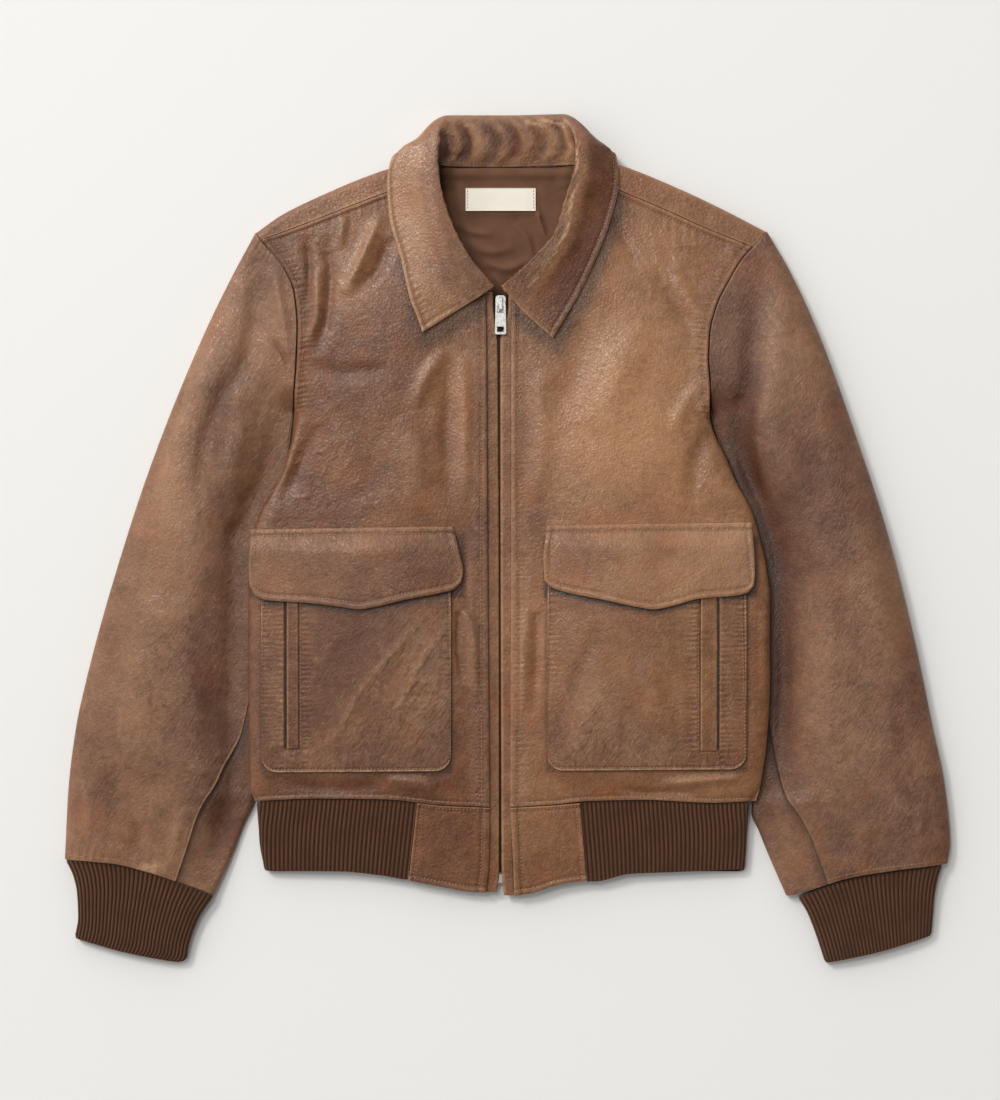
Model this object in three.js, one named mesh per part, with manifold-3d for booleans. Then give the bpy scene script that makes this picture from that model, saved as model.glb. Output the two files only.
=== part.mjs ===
// A worn leather flight jacket, zipped up and laid flat on its back with its sleeves beside the body.
// Millimetres, +Z up, +Y towards the collar. The origin lies on the surface under the jacket, at the
// middle of its outline. Right and left are the wearer's: the right side is at -X.
import * as THREE from 'three';
import { mergeVertices } from 'three/addons/utils/BufferGeometryUtils.js';
import Module from 'manifold-3d';

// ---- driving dimensions ----
const LEATHER = 2.0;          // a body or sleeve panel with the layer bonded behind it
const TRIM = 1.7;             // pockets, flaps, welts and zip guards
const COLLAR_CLOTH = 2.4;     // collar, two leathers sewn as one
const RIB_CLOTH = 3.0;        // knitted rib
const LINING_CLOTH = 1.0;
const TAPE_CLOTH = 0.8;
const SEAM = 0.4;             // gap between pieces at a seam
const LAY = 0.5;              // gap under a piece that lies on another
const ARMHOLE_GAP = 0.9;      // gap between the curved edges of body and sleeve
const CLOSURE_X = -5;         // the zip's line at the neck
const SHOULDER_TOP = 12.4;    // height of the fold over the shoulders
const FOLD_RADIUS = SHOULDER_TOP / 2;
const NECK_RADIUS = 2.3;      // turned edge of the back panel along the nape
const SIDE_ROUND = 16;        // width over which a front panel rounds down to its side seam
const SHOULDER_RISE = 120;    // distance from the shoulder fold over which the body reaches full height
const CROWN_SPAN = 200;       // distance from the zip to where a front lies low again
const TUCK_HEIGHT = 7.8;      // the back panel rides this high over a sleeve's inner edge
const TUCK_FLAT = 6;          // width of that raised margin
const TUCK_SLOPE = 24;        // width over which it comes down to the floor
const SLEEVE_LIP = 6.4;       // height of a sleeve's inner edge, tucked under the body
const SLEEVE_OUTER_FOLD = 9;  // radius of its outer fold
const SLEEVE_SHOULDER = 45;   // width over which its upper side rounds off at the outer fold
const HIND_SEAM = 0.4;        // place of the hind seam across the underside, from the outer fold
const SLEEVE_LENGTHS = [      // each sleeve panel is made in three lengths, so that its hollow stays open
  { name: 'arm', from: 0, to: 0.35 },
  { name: 'elbow', from: 0.35, to: 0.72 },
  { name: 'wrist', from: 0.72, to: 1 },
];
const LENGTH_GAP = 0.0005;    // half the gap between two lengths, as a share of the sleeve
const POCKET_PUFF = 2.6;
const POCKET_CORNER = 14;

// ---- curves ----
const lastOf = (list) => list[list.length - 1];
const clamp = (value, low, high) => Math.min(high, Math.max(low, value));
const mix = (a, b, t) => a + (b - a) * t;
const ease = (t) => {
  const c = clamp(t, 0, 1);
  return c * c * (3 - 2 * c);
};
const roundOff = (t) => {
  const c = clamp(t, 0, 1);
  return Math.sqrt(1 - (1 - c) * (1 - c));
};

// A smooth curve through (key, value) points that never overshoots them: a monotone cubic.
function spline(keys, values) {
  const last = keys.length - 1;
  const step = keys.slice(1).map((key, i) => key - keys[i]);
  const slope = step.map((h, i) => (values[i + 1] - values[i]) / h);
  const tangent = values.map((_, i) => {
    if (i === 0) return slope[0];
    if (i === last) return slope[last - 1];
    if (slope[i - 1] * slope[i] <= 0) return 0;
    const a = 2 * step[i] + step[i - 1];
    const b = step[i] + 2 * step[i - 1];
    return (a + b) / (a / slope[i - 1] + b / slope[i]);
  });
  return (key) => {
    const k = clamp(key, keys[0], keys[last]);
    let i = 0;
    while (i < last - 1 && k > keys[i + 1]) i += 1;
    const h = step[i];
    const t = (k - keys[i]) / h;
    const t2 = t * t;
    const t3 = t2 * t;
    return values[i] * (2 * t3 - 3 * t2 + 1) + tangent[i] * h * (t3 - 2 * t2 + t)
      + values[i + 1] * (3 * t2 - 2 * t3) + tangent[i + 1] * h * (t3 - t2);
  };
}

// One coordinate as a function of another, from a list of pairs in rising order of the first.
const table = (pairs) => spline(pairs.map((pair) => pair[0]), pairs.map((pair) => pair[1]));

// A curve through points, followed by a fraction of its length from 0 to 1.
function track(points) {
  const along = [0];
  for (let i = 1; i < points.length; i += 1) {
    along.push(along[i - 1] + Math.hypot(...points[i].map((c, k) => c - points[i - 1][k])));
  }
  const keys = along.map((length) => length / along[along.length - 1]);
  const parts = points[0].map((_, k) => spline(keys, points.map((point) => point[k])));
  return (t) => parts.map((part) => part(t));
}

// Two curves one after the other, the first for t up to `share`.
const chain = (first, second, share) => (t) => (
  t < share ? first(t / share) : second((t - share) / (1 - share)));

// A surface in plan between four edges that meet at their corners (a Coons patch): u runs along
// bottom and top, v along start and end.
function patch(bottom, top, start, end) {
  return (u, v) => {
    const [b, t, s, e] = [bottom(u), top(u), start(v), end(v)];
    const corners = [bottom(0), bottom(1), top(0), top(1)];
    return [0, 1].map((k) => (1 - v) * b[k] + v * t[k] + (1 - u) * s[k] + u * e[k]
      - (1 - v) * ((1 - u) * corners[0][k] + u * corners[1][k])
      - v * ((1 - u) * corners[2][k] + u * corners[3][k]));
  };
}

// ---- outlines, one set for each side; x, y in plan ----
const right = {
  name: 'right',
  sign: -1,
  bodyEdge: [[-220, -300], [-225, -240], [-230.4, -222], [-232.2, -146], [-232.2, -56],
    [-229.5, -2], [-219.6, 27], [-202.5, 57], [-194, 84], [-190.8, 111]],
  armhole: [[-225, 275.4], [-220.5, 268.2], [-199.8, 243], [-190.2, 220.5], [-187.2, 188],
    [-188.1, 158], [-190, 131], [-190.8, 111]],
  shoulderFold: [[-225, 275.4], [-203.4, 290.7], [-169.2, 307.8], [-108.9, 332.1], [-68.4, 343]],
  shoulderSeam: [[-220.5, 268.2], [-185.4, 281], [-108.9, 310.5], [-76, 321.5]],
  neckline: [[-76, 321.5], [-68, 303], [-60, 277], [-43, 248], [-27, 231], [-17.8, 222]],
  hem: [[-226.8, -236.7], [-170, -234.5], [-110, -235], [-60, -240], [-14.8, -242]],
  frontEdge: [[-319, -18], [-300, -15.6], [-240, -14.6], [100, -17.4], [222, -17.8]],
  guardEdge: [[-319, -8.2], [-290, -6.9], [-240, -6.3], [160, -7.9], [185, -9], [205, -11.4], [222, -12]],
  sleeveOuter: [[-225.9, 275.8], [-247, 236], [-275.4, 176.8], [-319.5, 67.5], [-342.9, -2.3],
    [-376.2, -118.8], [-387.9, -171.9], [-394.5, -225], [-397.8, -289.5]],
  sleeveInner: [[-192, 111.4], [-194.6, 83], [-198.5, 56], [-209, 27], [-217.5, -2], [-220, -56],
    [-220.5, -146], [-223.2, -200], [-226.9, -236.7], [-236.3, -258.3], [-246.6, -285.3],
    [-263, -321.8]],
  sleeveEnd: [[-397.8, -289.5], [-353, -292.9], [-323, -300.2], [-299.7, -307.8], [-263, -321.8]],
  sleeveSeam: [[0, 0.95], [0.5, 0.93], [0.68, 0.88], [0.78, 0.79], [0.9, 0.74], [1, 0.74]],
  cuffOuter: [[-397.8, -290.1], [-391, -304], [-387.5, -320], [-386.5, -342], [-389.4, -360.5]],
  cuffInner: [[-263, -322.4], [-276.3, -342], [-286, -368], [-288, -379], [-293, -383.2]],
  cuffEnd: [[-389.4, -360.5], [-341, -374], [-293, -383.2]],
  ribSide: [[-301, -218], [-275, -222.8], [-240, -224.8]],
  ribGap: [[-307, -87.8], [-237, -80]],
  panelEnd: [[-89.5, -306.8], [-60, -313.2], [-30, -318.6], [-18, -319.2]],
  panelTop: [[-80, -238.3], [-60, -240.6], [-14.8, -242.6]],
  pocket: { outer: -219.5, inner: -49.6, top: -18, bottom: -210, slant: 1.5 },
  welt: { outer: -196.6, inner: -186.5, top: -61.5, bottom: -189 },
  flapSeam: [[-229.6, 7.8], [-47.5, 10.2]],
  flapOuter: [[-44, -230.2], [-30, -231.2], [7.8, -229.6]],
  flapInner: [[-42, -41], [-30, -38.3], [-15, -41.4], [10.2, -47.5]],
  flapEnd: [[0, -42.5], [0.03, -51.8], [0.08, -55.8], [0.27, -58.2], [0.44, -62], [0.52, -64], [0.6, -61.6],
    [0.74, -55.4], [0.92, -48.7], [0.97, -46], [1, -40.5]],
};
const left = {
  name: 'left',
  sign: 1,
  bodyEdge: [[216, -300], [219.4, -240], [229.4, -222], [234.5, -185], [237.9, -125], [237.9, -58],
    [232.8, -19], [221.2, 24], [205.8, 53.6], [198.3, 70.7], [186.3, 97], [183.2, 109]],
  armhole: [[234.3, 276.3], [221.4, 261.9], [210.6, 249.3], [200.2, 231.8], [188.8, 209],
    [182.2, 182.4], [181.3, 160], [183, 135], [183.2, 109]],
  shoulderFold: [[234.3, 276.3], [198, 295.2], [160.2, 313.2], [101.7, 336.9], [68.4, 346.5]],
  shoulderSeam: [[221.4, 261.9], [179.1, 279], [141.3, 296.1], [105.3, 311.4], [76, 323.5]],
  neckline: [[76, 323.5], [66, 299.7], [56, 275], [39, 249], [19, 231], [4.5, 222]],
  hem: [[225, -236.7], [186, -238.3], [124, -235.6], [78, -236.4], [40, -240], [3.8, -242]],
  frontEdge: [[-322, 7.4], [-290, 6.2], [-240, 3.8], [100, 4.5], [222, 4.5]],
  guardEdge: [[-322, -1.8], [-290, -3.2], [-240, -4.2], [160, -5.5], [185, -2.6], [205, 1.4], [222, 2]],
  sleeveOuter: [[235.2, 276.7], [255.2, 242], [281.7, 184.5], [304.2, 124.2], [347.7, -9],
    [367.7, -89.1], [384.3, -168.3], [396, -225], [400.6, -276], [397.8, -293.5]],
  sleeveInner: [[184.4, 109.4], [187.6, 95], [195, 70], [199.5, 53], [211.5, 24], [221.5, -19],
    [225.5, -58], [226, -125], [225, -182], [222.4, -228], [221.6, -248], [228, -264],
    [237.9, -288.5], [252.8, -322.8]],
  sleeveEnd: [[397.8, -293.5], [341, -300.2], [307.8, -306], [264.6, -320], [252.8, -322.8]],
  sleeveSeam: [[0, 0.95], [0.5, 0.93], [0.66, 0.9], [0.77, 0.84], [0.9, 0.76], [1, 0.75]],
  cuffOuter: [[394, -295.3], [391, -303], [387.6, -318.6], [385.5, -340], [384.3, -358.2]],
  cuffInner: [[262.8, -323.6], [270.9, -337], [279.5, -358], [287.7, -383.4]],
  cuffEnd: [[384.3, -358.2], [334.3, -373.5], [287.7, -383.4]],
  cuffStart: [[394, -295.3], [341, -301.6], [307.8, -307.5], [262.8, -323.6]],
  ribSide: [[-299, 216], [-275, 217.6], [-240, 219]],
  ribGap: [[-307, 72.6], [-237, 66.6]],
  panelEnd: [[7.4, -322], [20, -321], [50.5, -313.4], [72.9, -311.4]],
  panelTop: [[3.8, -242.6], [40, -240.6], [66.6, -238.3]],
  pocket: { outer: 215.6, inner: 37.2, top: -18, bottom: -208.5, slant: -1 },
  welt: { outer: 189.3, inner: 174.6, top: -61.5, bottom: -191 },
  flapSeam: [[36.7, 11.2], [220.8, 13.9]],
  flapOuter: [[-44, 222], [-30, 223.2], [13.9, 220.8]],
  flapInner: [[-39, 34.4], [-19, 33.2], [11.2, 36.7]],
  flapEnd: [[0, -38.5], [0.03, -43.8], [0.08, -47.6], [0.27, -55], [0.44, -61.8], [0.52, -64], [0.6, -61.4],
    [0.74, -54.6], [0.92, -51.6], [0.97, -49.2], [1, -43]],
};
const SIDES = [right, left];
const UNDERARM_SPREAD = 34;
for (const side of SIDES) {
  const [armX, armY] = side.bodyEdge[side.bodyEdge.length - 1];
  const above = [
    [armX + side.sign * 42, armY + UNDERARM_SPREAD],
    [armX + side.sign * 200, armY + 5 * UNDERARM_SPREAD],
  ];
  side.edgeX = table([...side.bodyEdge, ...above].map(([x, y]) => [y, x]));
  side.edgeY = armY;
  side.frontX = table(side.frontEdge);
  side.guardX = table(side.guardEdge);
}

// ---- heights of the body ----
const closureHeight = table([[-325, 12.6], [-242, 15.2], [-180, 17.6], [-80, 19], [225, 19]]);
const crownHeight = table([[-325, 0], [-242, 0.8], [-150, 3.6], [60, 4.6], [200, 2.6], [300, 0]]);
const tuckHeight = table([[-330, TUCK_HEIGHT], [60, TUCK_HEIGHT], [109, 6.6], [150, 0]]);
const sideOf = (x) => (x < CLOSURE_X ? right : left);
const inFromEdge = (side, x, y) => Math.max(0, side.sign * (side.edgeX(y) - x));

// Distance inward from the straight line over a shoulder.
function inFromShoulder(side, x, y) {
  const [tipX, tipY] = side.shoulderFold[0];
  const [neckX, neckY] = lastOf(side.shoulderFold);
  const length = Math.hypot(neckX - tipX, neckY - tipY);
  return -side.sign * ((x - tipX) * (neckY - tipY) - (y - tipY) * (neckX - tipX)) / length;
}

// Top of the body before it rounds down at its sides.
function fullHeight(x, y) {
  const side = sideOf(x);
  const across = clamp(Math.abs(x - CLOSURE_X) / CROWN_SPAN, 0, 1);
  const crown = crownHeight(y) * Math.sin(Math.PI * across) ** 2 - 1.2 * across * across;
  const rise = ease(inFromShoulder(side, x, y) / SHOULDER_RISE);
  return mix(SHOULDER_TOP, closureHeight(y) + crown, rise);
}

// Underside of the back panel: on the floor, and raised over a sleeve's inner edge.
function backHeight(x, y) {
  const inside = inFromEdge(sideOf(x), x, y);
  return tuckHeight(y) * ease(1 - (inside - TUCK_FLAT) / TUCK_SLOPE);
}

// Top surface of the front panels.
function bodyTop(x, y) {
  const side = sideOf(x);
  const low = tuckHeight(y) + LEATHER + SEAM;
  const inside = inFromEdge(side, x, y);
  return mix(low, fullHeight(x, y), roundOff(inside / SIDE_ROUND));
}

// ---- solids ----
const wasm = await Module();
wasm.setup();

// A closed geometry whose faces point out, whichever way round its grid ran.
function closed(positions, indices) {
  const corner = (index) => new THREE.Vector3(...positions.slice(index * 3, index * 3 + 3));
  let volume = 0;
  for (let i = 0; i < indices.length; i += 3) {
    const [a, b, c] = [corner(indices[i]), corner(indices[i + 1]), corner(indices[i + 2])];
    volume += a.dot(b.cross(c));
  }
  const geometry = new THREE.BufferGeometry();
  geometry.setAttribute('position', new THREE.Float32BufferAttribute(positions, 3));
  geometry.setIndex(volume > 0 ? indices : indices.reverse());
  geometry.computeVertexNormals();
  return geometry;
}

// A closed wall between two grids of points, with a rim on every open side. In a tube each row is a
// ring, so only the first and last rows have rims.
function wallBetween(outer, inner, tube = false) {
  const [rows, columns] = [outer.length, outer[0].length];
  const positions = [outer, inner].flat(3);
  const spans = tube ? columns : columns - 1;
  const at = (side, i, j) => (side * rows + i) * columns + (j % columns);
  const indices = [];
  const quad = (a, b, c, d) => indices.push(a, b, c, a, c, d);
  for (let j = 0; j < spans; j += 1) {
    for (let i = 0; i < rows - 1; i += 1) {
      quad(at(0, i, j), at(0, i + 1, j), at(0, i + 1, j + 1), at(0, i, j + 1));
      quad(at(1, i, j), at(1, i, j + 1), at(1, i + 1, j + 1), at(1, i + 1, j));
    }
    quad(at(0, 0, j), at(0, 0, j + 1), at(1, 0, j + 1), at(1, 0, j));
    quad(at(0, rows - 1, j), at(1, rows - 1, j), at(1, rows - 1, j + 1), at(0, rows - 1, j + 1));
  }
  for (let i = 0; i < (tube ? 0 : rows - 1); i += 1) {
    const end = columns - 1;
    quad(at(0, i, 0), at(1, i, 0), at(1, i + 1, 0), at(0, i + 1, 0));
    quad(at(0, i, end), at(0, i + 1, end), at(1, i + 1, end), at(1, i, end));
  }
  return closed(positions, indices);
}

// Unit normal of a grid at each of its points, from its neighbours.
function normalsOf(grid) {
  const [rows, columns] = [grid.length, grid[0].length];
  return grid.map((row, i) => row.map((_, j) => {
    const span = (a, b) => new THREE.Vector3(...a).sub(new THREE.Vector3(...b));
    const down = span(grid[Math.min(i + 1, rows - 1)][j], grid[Math.max(i - 1, 0)][j]);
    const across = span(row[Math.min(j + 1, columns - 1)], row[Math.max(j - 1, 0)]);
    return down.cross(across).normalize().toArray();
  }));
}

// A grid moved along its normals by `distance`.
function offset(grid, distance) {
  const normals = normalsOf(grid);
  return grid.map((row, i) => row.map((point, j) => (
    point.map((c, k) => c + normals[i][j][k] * distance))));
}

const steps = (count) => Array.from({ length: count + 1 }, (_, i) => i / count);
const gridOf = (rows, columns, point) => rows.map((v) => columns.map((u) => point(u, v)));

// A piece that lies on the body: plan (u, v), the height of its underside, and its thickness.
function layer(plan, columns, rows, underside, thickness) {
  const low = gridOf(rows, columns, (u, v) => {
    const [x, y] = plan(u, v);
    return [x, y, underside(x, y, u, v)];
  });
  const high = low.map((row) => row.map(([x, y, z]) => [x, y, z + thickness]));
  return wallBetween(high, low);
}

// ---- body panels ----
const acrossFront = [0, 0.14, 0.3, 0.46, 0.62, 0.77, 0.89, 0.945, 0.98, 1];
const upBody = [0, 0.1, 0.22, 0.36, 0.5, 0.58, 0.62, 0.65, 0.69, 0.74, 0.79, 0.84, 0.89, 0.93, 0.965, 1];

// A front panel: from the front edge (u = 0) to the side seam and armhole (u = 1), hem to shoulder.
function frontGeometry(side) {
  const hem = track([...side.hem].reverse());
  const sideUp = track([side.hem[0], ...side.bodyEdge.slice(2), ...[...side.armhole].reverse().slice(1, -1)]);
  const frontUp = track([lastOf(side.hem), [side.frontX(0), 0], lastOf(side.neckline)]);
  const neck = track([...side.neckline].reverse());
  const shoulder = track([...side.shoulderSeam].reverse());
  const plan = patch(hem, chain(neck, shoulder, 0.46), frontUp, sideUp);
  const outer = gridOf(upBody, acrossFront, (u, v) => {
    const [x, y] = plan(u, v);
    return [x, y, bodyTop(x, y)];
  });
  const down = normalsOf(outer)[5][5][2] > 0 ? -LEATHER : LEATHER;
  const inner = offset(outer, down).map((row) => row.map(([x, y, z]) => (
    [x, y, Math.max(z, backHeight(x, y) + LEATHER + SEAM)])));
  return wallBetween(outer, inner);
}

// The back panel: flat on the floor, then round each shoulder fold and on to the forward shoulder seam.
const foldLine = track([
  ...right.shoulderFold, [-52, 336.4], [0, 332.4], [52, 337], ...[...left.shoulderFold].reverse(),
]);
const seamLine = table([
  ...right.shoulderSeam, [-52, 332.8], [0, 329], [52, 333.5], ...[...left.shoulderSeam].reverse(),
]);
const foldRadius = table([[50, NECK_RADIUS], [78, FOLD_RADIUS]]);

function backGeometry() {
  const turns = steps(4).slice(1);
  const columns = [0, 0.013, 0.03, 0.06, 0.14, 0.24, 0.34, 0.375, 0.41, 0.5, 0.59, 0.625, 0.66, 0.76,
    0.86, 0.94, 0.97, 0.987, 1];
  const column = (u) => {
    const top = foldLine(u);
    const pull = top[0] < 0 ? 4.5 * ease((-top[0] - 180) / 45) : -12.9 * ease((top[0] - 170) / 64);
    const seamX = top[0] + pull;
    const seam = [seamX, seamLine(seamX)];
    const depth = Math.hypot(seam[0] - top[0], seam[1] - top[1]);
    const inward = [(seam[0] - top[0]) / depth, (seam[1] - top[1]) / depth];
    return { top, inward, depth, radius: foldRadius(Math.abs(top[0])) };
  };
  const floorEnd = (u) => {
    const { top, inward, radius } = column(u);
    return [top[0] + inward[0] * radius, top[1] + inward[1] * radius];
  };
  const sideUp = (side, end) => track([
    side.hem[0], ...side.bodyEdge.slice(2), ...[...side.armhole].reverse().slice(1, -2), end]);
  const hem = (u) => [mix(right.hem[0][0], left.hem[0][0], u), right.hem[0][1]];
  const plan = patch(hem, floorEnd, sideUp(right, floorEnd(0)), sideUp(left, floorEnd(1)));
  const surface = (inset) => {
    const rows = upBody.map((v) => columns.map((u) => {
      const [x, y] = plan(u, v);
      return [x, y, backHeight(x, y) + inset];
    }));
    for (const turn of turns) {
      rows.push(columns.map((u) => {
        const { top, inward, radius } = column(u);
        const out = radius - (radius - inset) * Math.sin(Math.PI * turn);
        const high = radius - (radius - inset) * Math.cos(Math.PI * turn);
        return [top[0] + inward[0] * out, top[1] + inward[1] * out, high];
      }));
    }
    rows.push(columns.map((u) => {
      const { top, inward, depth, radius } = column(u);
      const out = depth - SEAM;
      const [x, y] = [top[0] + inward[0] * out, top[1] + inward[1] * out];
      const rise = (bodyTop(x, y) - SHOULDER_TOP) * ease((radius - NECK_RADIUS) / 2);
      return [x, y, 2 * radius + rise - inset];
    }));
    return rows;
  };
  return wallBetween(surface(0), surface(LEATHER));
}

// ---- sleeves and cuffs: flattened tubes, flat below, crowned above, rounded at both folds ----
const sleeveCrown = table([[0, 20], [0.2, 23], [0.5, 25], [0.8, 22], [1, 17]]);
const sleeveLip = table([[0, SLEEVE_LIP], [0.84, SLEEVE_LIP], [1, 11]]);
const sleeveFold = table([[0, FOLD_RADIUS], [0.15, SLEEVE_OUTER_FOLD], [1, 8]]);

function sleeveShape(side) {
  const armLine = track(side.armhole);
  const armhole = (s) => {
    const [x, y] = armLine(s);
    return [x + side.sign * ARMHOLE_GAP, y + ARMHOLE_GAP / 2];
  };
  const outline = patch(
    armhole, track(side.sleeveEnd), track(side.sleeveOuter), track(side.sleeveInner));
  const width = (v) => {
    const [a, b] = [outline(0, v), outline(1, v)];
    return Math.hypot(a[0] - b[0], a[1] - b[1]);
  };
  const top = (s, v, inset) => {
    const w = width(v);
    const [fromOuter, fromInner] = [s * w, (1 - s) * w];
    const [x, y] = outline(s, v);
    const [cornerX, cornerY] = lastOf(side.armhole);
    const fromBody = y < cornerY
      ? Math.max(0, side.sign * (x - side.edgeX(y))) : Math.hypot(x - cornerX, y - cornerY);
    const lip = sleeveLip(v);
    const free = mix(lip, sleeveCrown(v), ease((Math.min(fromBody, fromInner) - 2) / 55));
    const [armX, armY] = armLine(s);
    const joined = mix(bodyTop(armX, armY), free, ease(v / 0.22));
    const level = mix(lip, joined, ease((fromBody - 1) / 26)) - inset;
    const shoulder = mix(8, SLEEVE_SHOULDER, ease(v / 0.2));
    const outer = mix(sleeveFold(v), level, roundOff(fromOuter / shoulder));
    return mix(lip / 2, outer, roundOff(fromInner / 6));
  };
  return { outline, width, top };
}

// A point of a sleeve's loop, `inset` in from its outside. place.kind says where it lies: on the
// floor or on top at a share s across from the outer fold, or at a turn from 0 to 1 round a fold.
function sleevePoint(shape, v, place, inset) {
  const w = shape.width(v);
  const fold = sleeveFold(v);
  const lip = sleeveLip(v) / 2;
  if (place.kind === 'under') {
    const [x, y] = shape.outline(place.s, v);
    return [x, y, inset];
  }
  if (place.kind === 'outerTurn') {
    const angle = place.turn * Math.PI / 2;
    const d = fold - (fold - inset) * Math.sin(angle);
    const [x, y] = shape.outline(d / w, v);
    return [x, y, fold - (fold - inset) * Math.cos(angle)];
  }
  if (place.kind === 'innerTurn') {
    const angle = place.turn * Math.PI / 2;
    const d = lip - (lip - inset) * Math.cos(angle);
    const [x, y] = shape.outline(1 - d / w, v);
    return [x, y, lip - (lip - inset) * Math.sin(angle)];
  }
  const s = clamp(place.s, inset / w, 1 - inset / w);
  const squeezed = (s - inset / w) / (1 - 2 * inset / w);
  const [x, y] = shape.outline(s, v);
  return [x, y, shape.top(squeezed, v, inset)];
}

// One length of a sleeve panel. Its ends stand back from the neighbouring lengths, but not from the
// armhole or the cuff.
function sleeveGeometry(side, part, { from, to }) {
  const shape = sleeveShape(side);
  const inside = [0.03, 0.08, 0.15, 0.24, 0.47, 0.6, 0.83, 0.92].filter((v) => v > from && v < to);
  const rows = [from === 0 ? 0 : from + LENGTH_GAP, ...inside, to === 1 ? 1 : to - LENGTH_GAP];
  const seamShare = table(side.sleeveSeam);
  const loops = (inset) => rows.map((v) => {
    const w = shape.width(v);
    const foldEnd = sleeveFold(v) / w;
    const lipEnd = 1 - sleeveLip(v) / 2 / w;
    const seam = seamShare(v);
    const gap = SEAM / w;
    const places = [];
    if (part === 'upper') {
      for (const t of [0, 0.5, 1]) places.push({ kind: 'under', s: mix(HIND_SEAM - gap, foldEnd, t) });
      for (const turn of [0.5, 1]) places.push({ kind: 'outerTurn', turn });
      for (const s of [0.02, 0.07, 0.15, 0.26]) places.push({ kind: 'over', s });
      for (const t of [0.3, 0.6, 0.82, 0.93, 1]) {
        places.push({ kind: 'over', s: mix(0.26, seam - gap, t) });
      }
    } else {
      for (const t of steps(2)) places.push({ kind: 'over', s: mix(seam, 1 - 6 / w, t) });
      for (const d of [2.5, 0]) places.push({ kind: 'over', s: 1 - d / w });
      for (const turn of [0.5, 1]) places.push({ kind: 'innerTurn', turn });
      for (const t of [0.5, 1]) places.push({ kind: 'under', s: mix(lipEnd, HIND_SEAM, t) });
    }
    return places.map((place) => sleevePoint(shape, v, place, inset));
  });
  return wallBetween(loops(0), loops(LEATHER));
}

// A rib cuff: a flat tube of knit, one ring per row, flatter below than above.
const cuffHeight = table([[0, 15], [0.3, 14], [1, 12]]);

function cuffGeometry(side) {
  const start = side.cuffStart ?? side.sleeveEnd.map(([x, y]) => [x, y - 0.6]);
  const plan = patch(track(start), track(side.cuffEnd), track(side.cuffOuter), track(side.cuffInner));
  const rings = (inset) => steps(3).map((v) => {
    const [a, b] = [plan(0, v), plan(1, v)];
    const half = Math.hypot(a[0] - b[0], a[1] - b[1]) / 2;
    const tall = cuffHeight(v) / 2;
    return steps(20).slice(0, -1).map((t) => {
      const angle = 2 * Math.PI * (t + 0.025);
      const [c, s] = [Math.cos(angle), Math.sin(angle)];
      const across = Math.sign(c) * Math.abs(c) ** 0.4 * (half - inset);
      const high = Math.sign(s) * Math.abs(s) ** (s > 0 ? 0.6 : 0.25) * (tall - inset);
      const [x, y] = plan((half + across) / (2 * half), v);
      return [x, y, tall + high];
    });
  });
  return wallBetween(rings(0), rings(RIB_CLOTH), true);
}

// ---- waistband: the knitted rib from one hem panel round the back to the other ----
const RIB_FOLD = 7;
const RIB_DROP = 0.6;         // gap below the body's hem, which its curve needs
const ribHem = table([[-218, -299.7], [-150, -300.3], [-110, -304.2], [-90, -307.4], [79, -309.3],
  [112, -302.4], [150, -301], [214, -298.4]]);
const BACK_HEM = -236.7;
const RIB_BACK_END = -301;

function waistRibGeometry() {
  const hemLine = table([...right.hem, ...[...left.hem].reverse()]);
  const sideX = (side, v) => table(side.ribSide)(mix(-240, -299, v));
  const gapX = (side, v) => table(side.ribGap)(mix(-237, -307, v)) + side.sign * SEAM;
  const top = (x, v) => fullHeight(x, -240) * mix(0.97, 0.84, v);
  const under = (side, x, v) => TUCK_HEIGHT * ease(1 - v / 0.4)
    * ease(1 - (side.sign * (sideX(side, v) - x) - TUCK_FLAT) / TUCK_SLOPE);
  const frontY = (x, v) => mix(hemLine(x) - RIB_DROP, ribHem(x), v);
  const backY = (v) => mix(BACK_HEM - RIB_DROP, RIB_BACK_END, v);
  const loop = (v, inset) => {
    const half = (side) => {
      const edge = sideX(side, v) - side.sign * RIB_FOLD;
      const list = steps(6).map((t) => {
        const x = mix(gapX(side, v), edge, t);
        return [x, frontY(x, v), top(x, v) - inset];
      });
      for (const turn of steps(5).slice(1, -1)) {
        const [low, high] = [under(side, edge, v), top(edge, v)];
        const reach = (RIB_FOLD - inset) * Math.sin(Math.PI * turn);
        const rise = ((high - low) / 2 - inset) * Math.cos(Math.PI * turn);
        const y = mix(frontY(edge, v), backY(v), ease(turn));
        list.push([edge + side.sign * reach, y, (high + low) / 2 + rise]);
      }
      for (const t of [0, 0.06, 0.12, 0.3, 0.6]) {
        const x = mix(edge, CLOSURE_X, t);
        list.push([x, backY(v), under(side, x, v) + inset]);
      }
      return list;
    };
    return [...half(right), ...half(left).reverse()];
  };
  const rows = [0, 0.1, 0.25, 0.5, 1];
  return wallBetween(rows.map((v) => loop(v, 0)), rows.map((v) => loop(v, RIB_CLOTH)));
}

// ---- closure: hem panels, zip guards, tapes, chain ----
function hemPanelGeometry(side) {
  const gap = track([...side.ribGap].reverse().map(([y, x]) => [x, y - 1.3]));
  const end = side === right ? side.panelEnd : [...side.panelEnd].reverse();
  const start = side === right ? side.panelTop : [...side.panelTop].reverse();
  const below = [[side.frontX(-242.6), -242.6], [side.frontX(-290), -290], lastOf(end)];
  const plan = patch(track(start), track(end), gap, track(below));
  const under = (x, y) => fullHeight(x, y) - LEATHER;
  return layer(plan, steps(5), steps(5), under, LEATHER);
}

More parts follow.
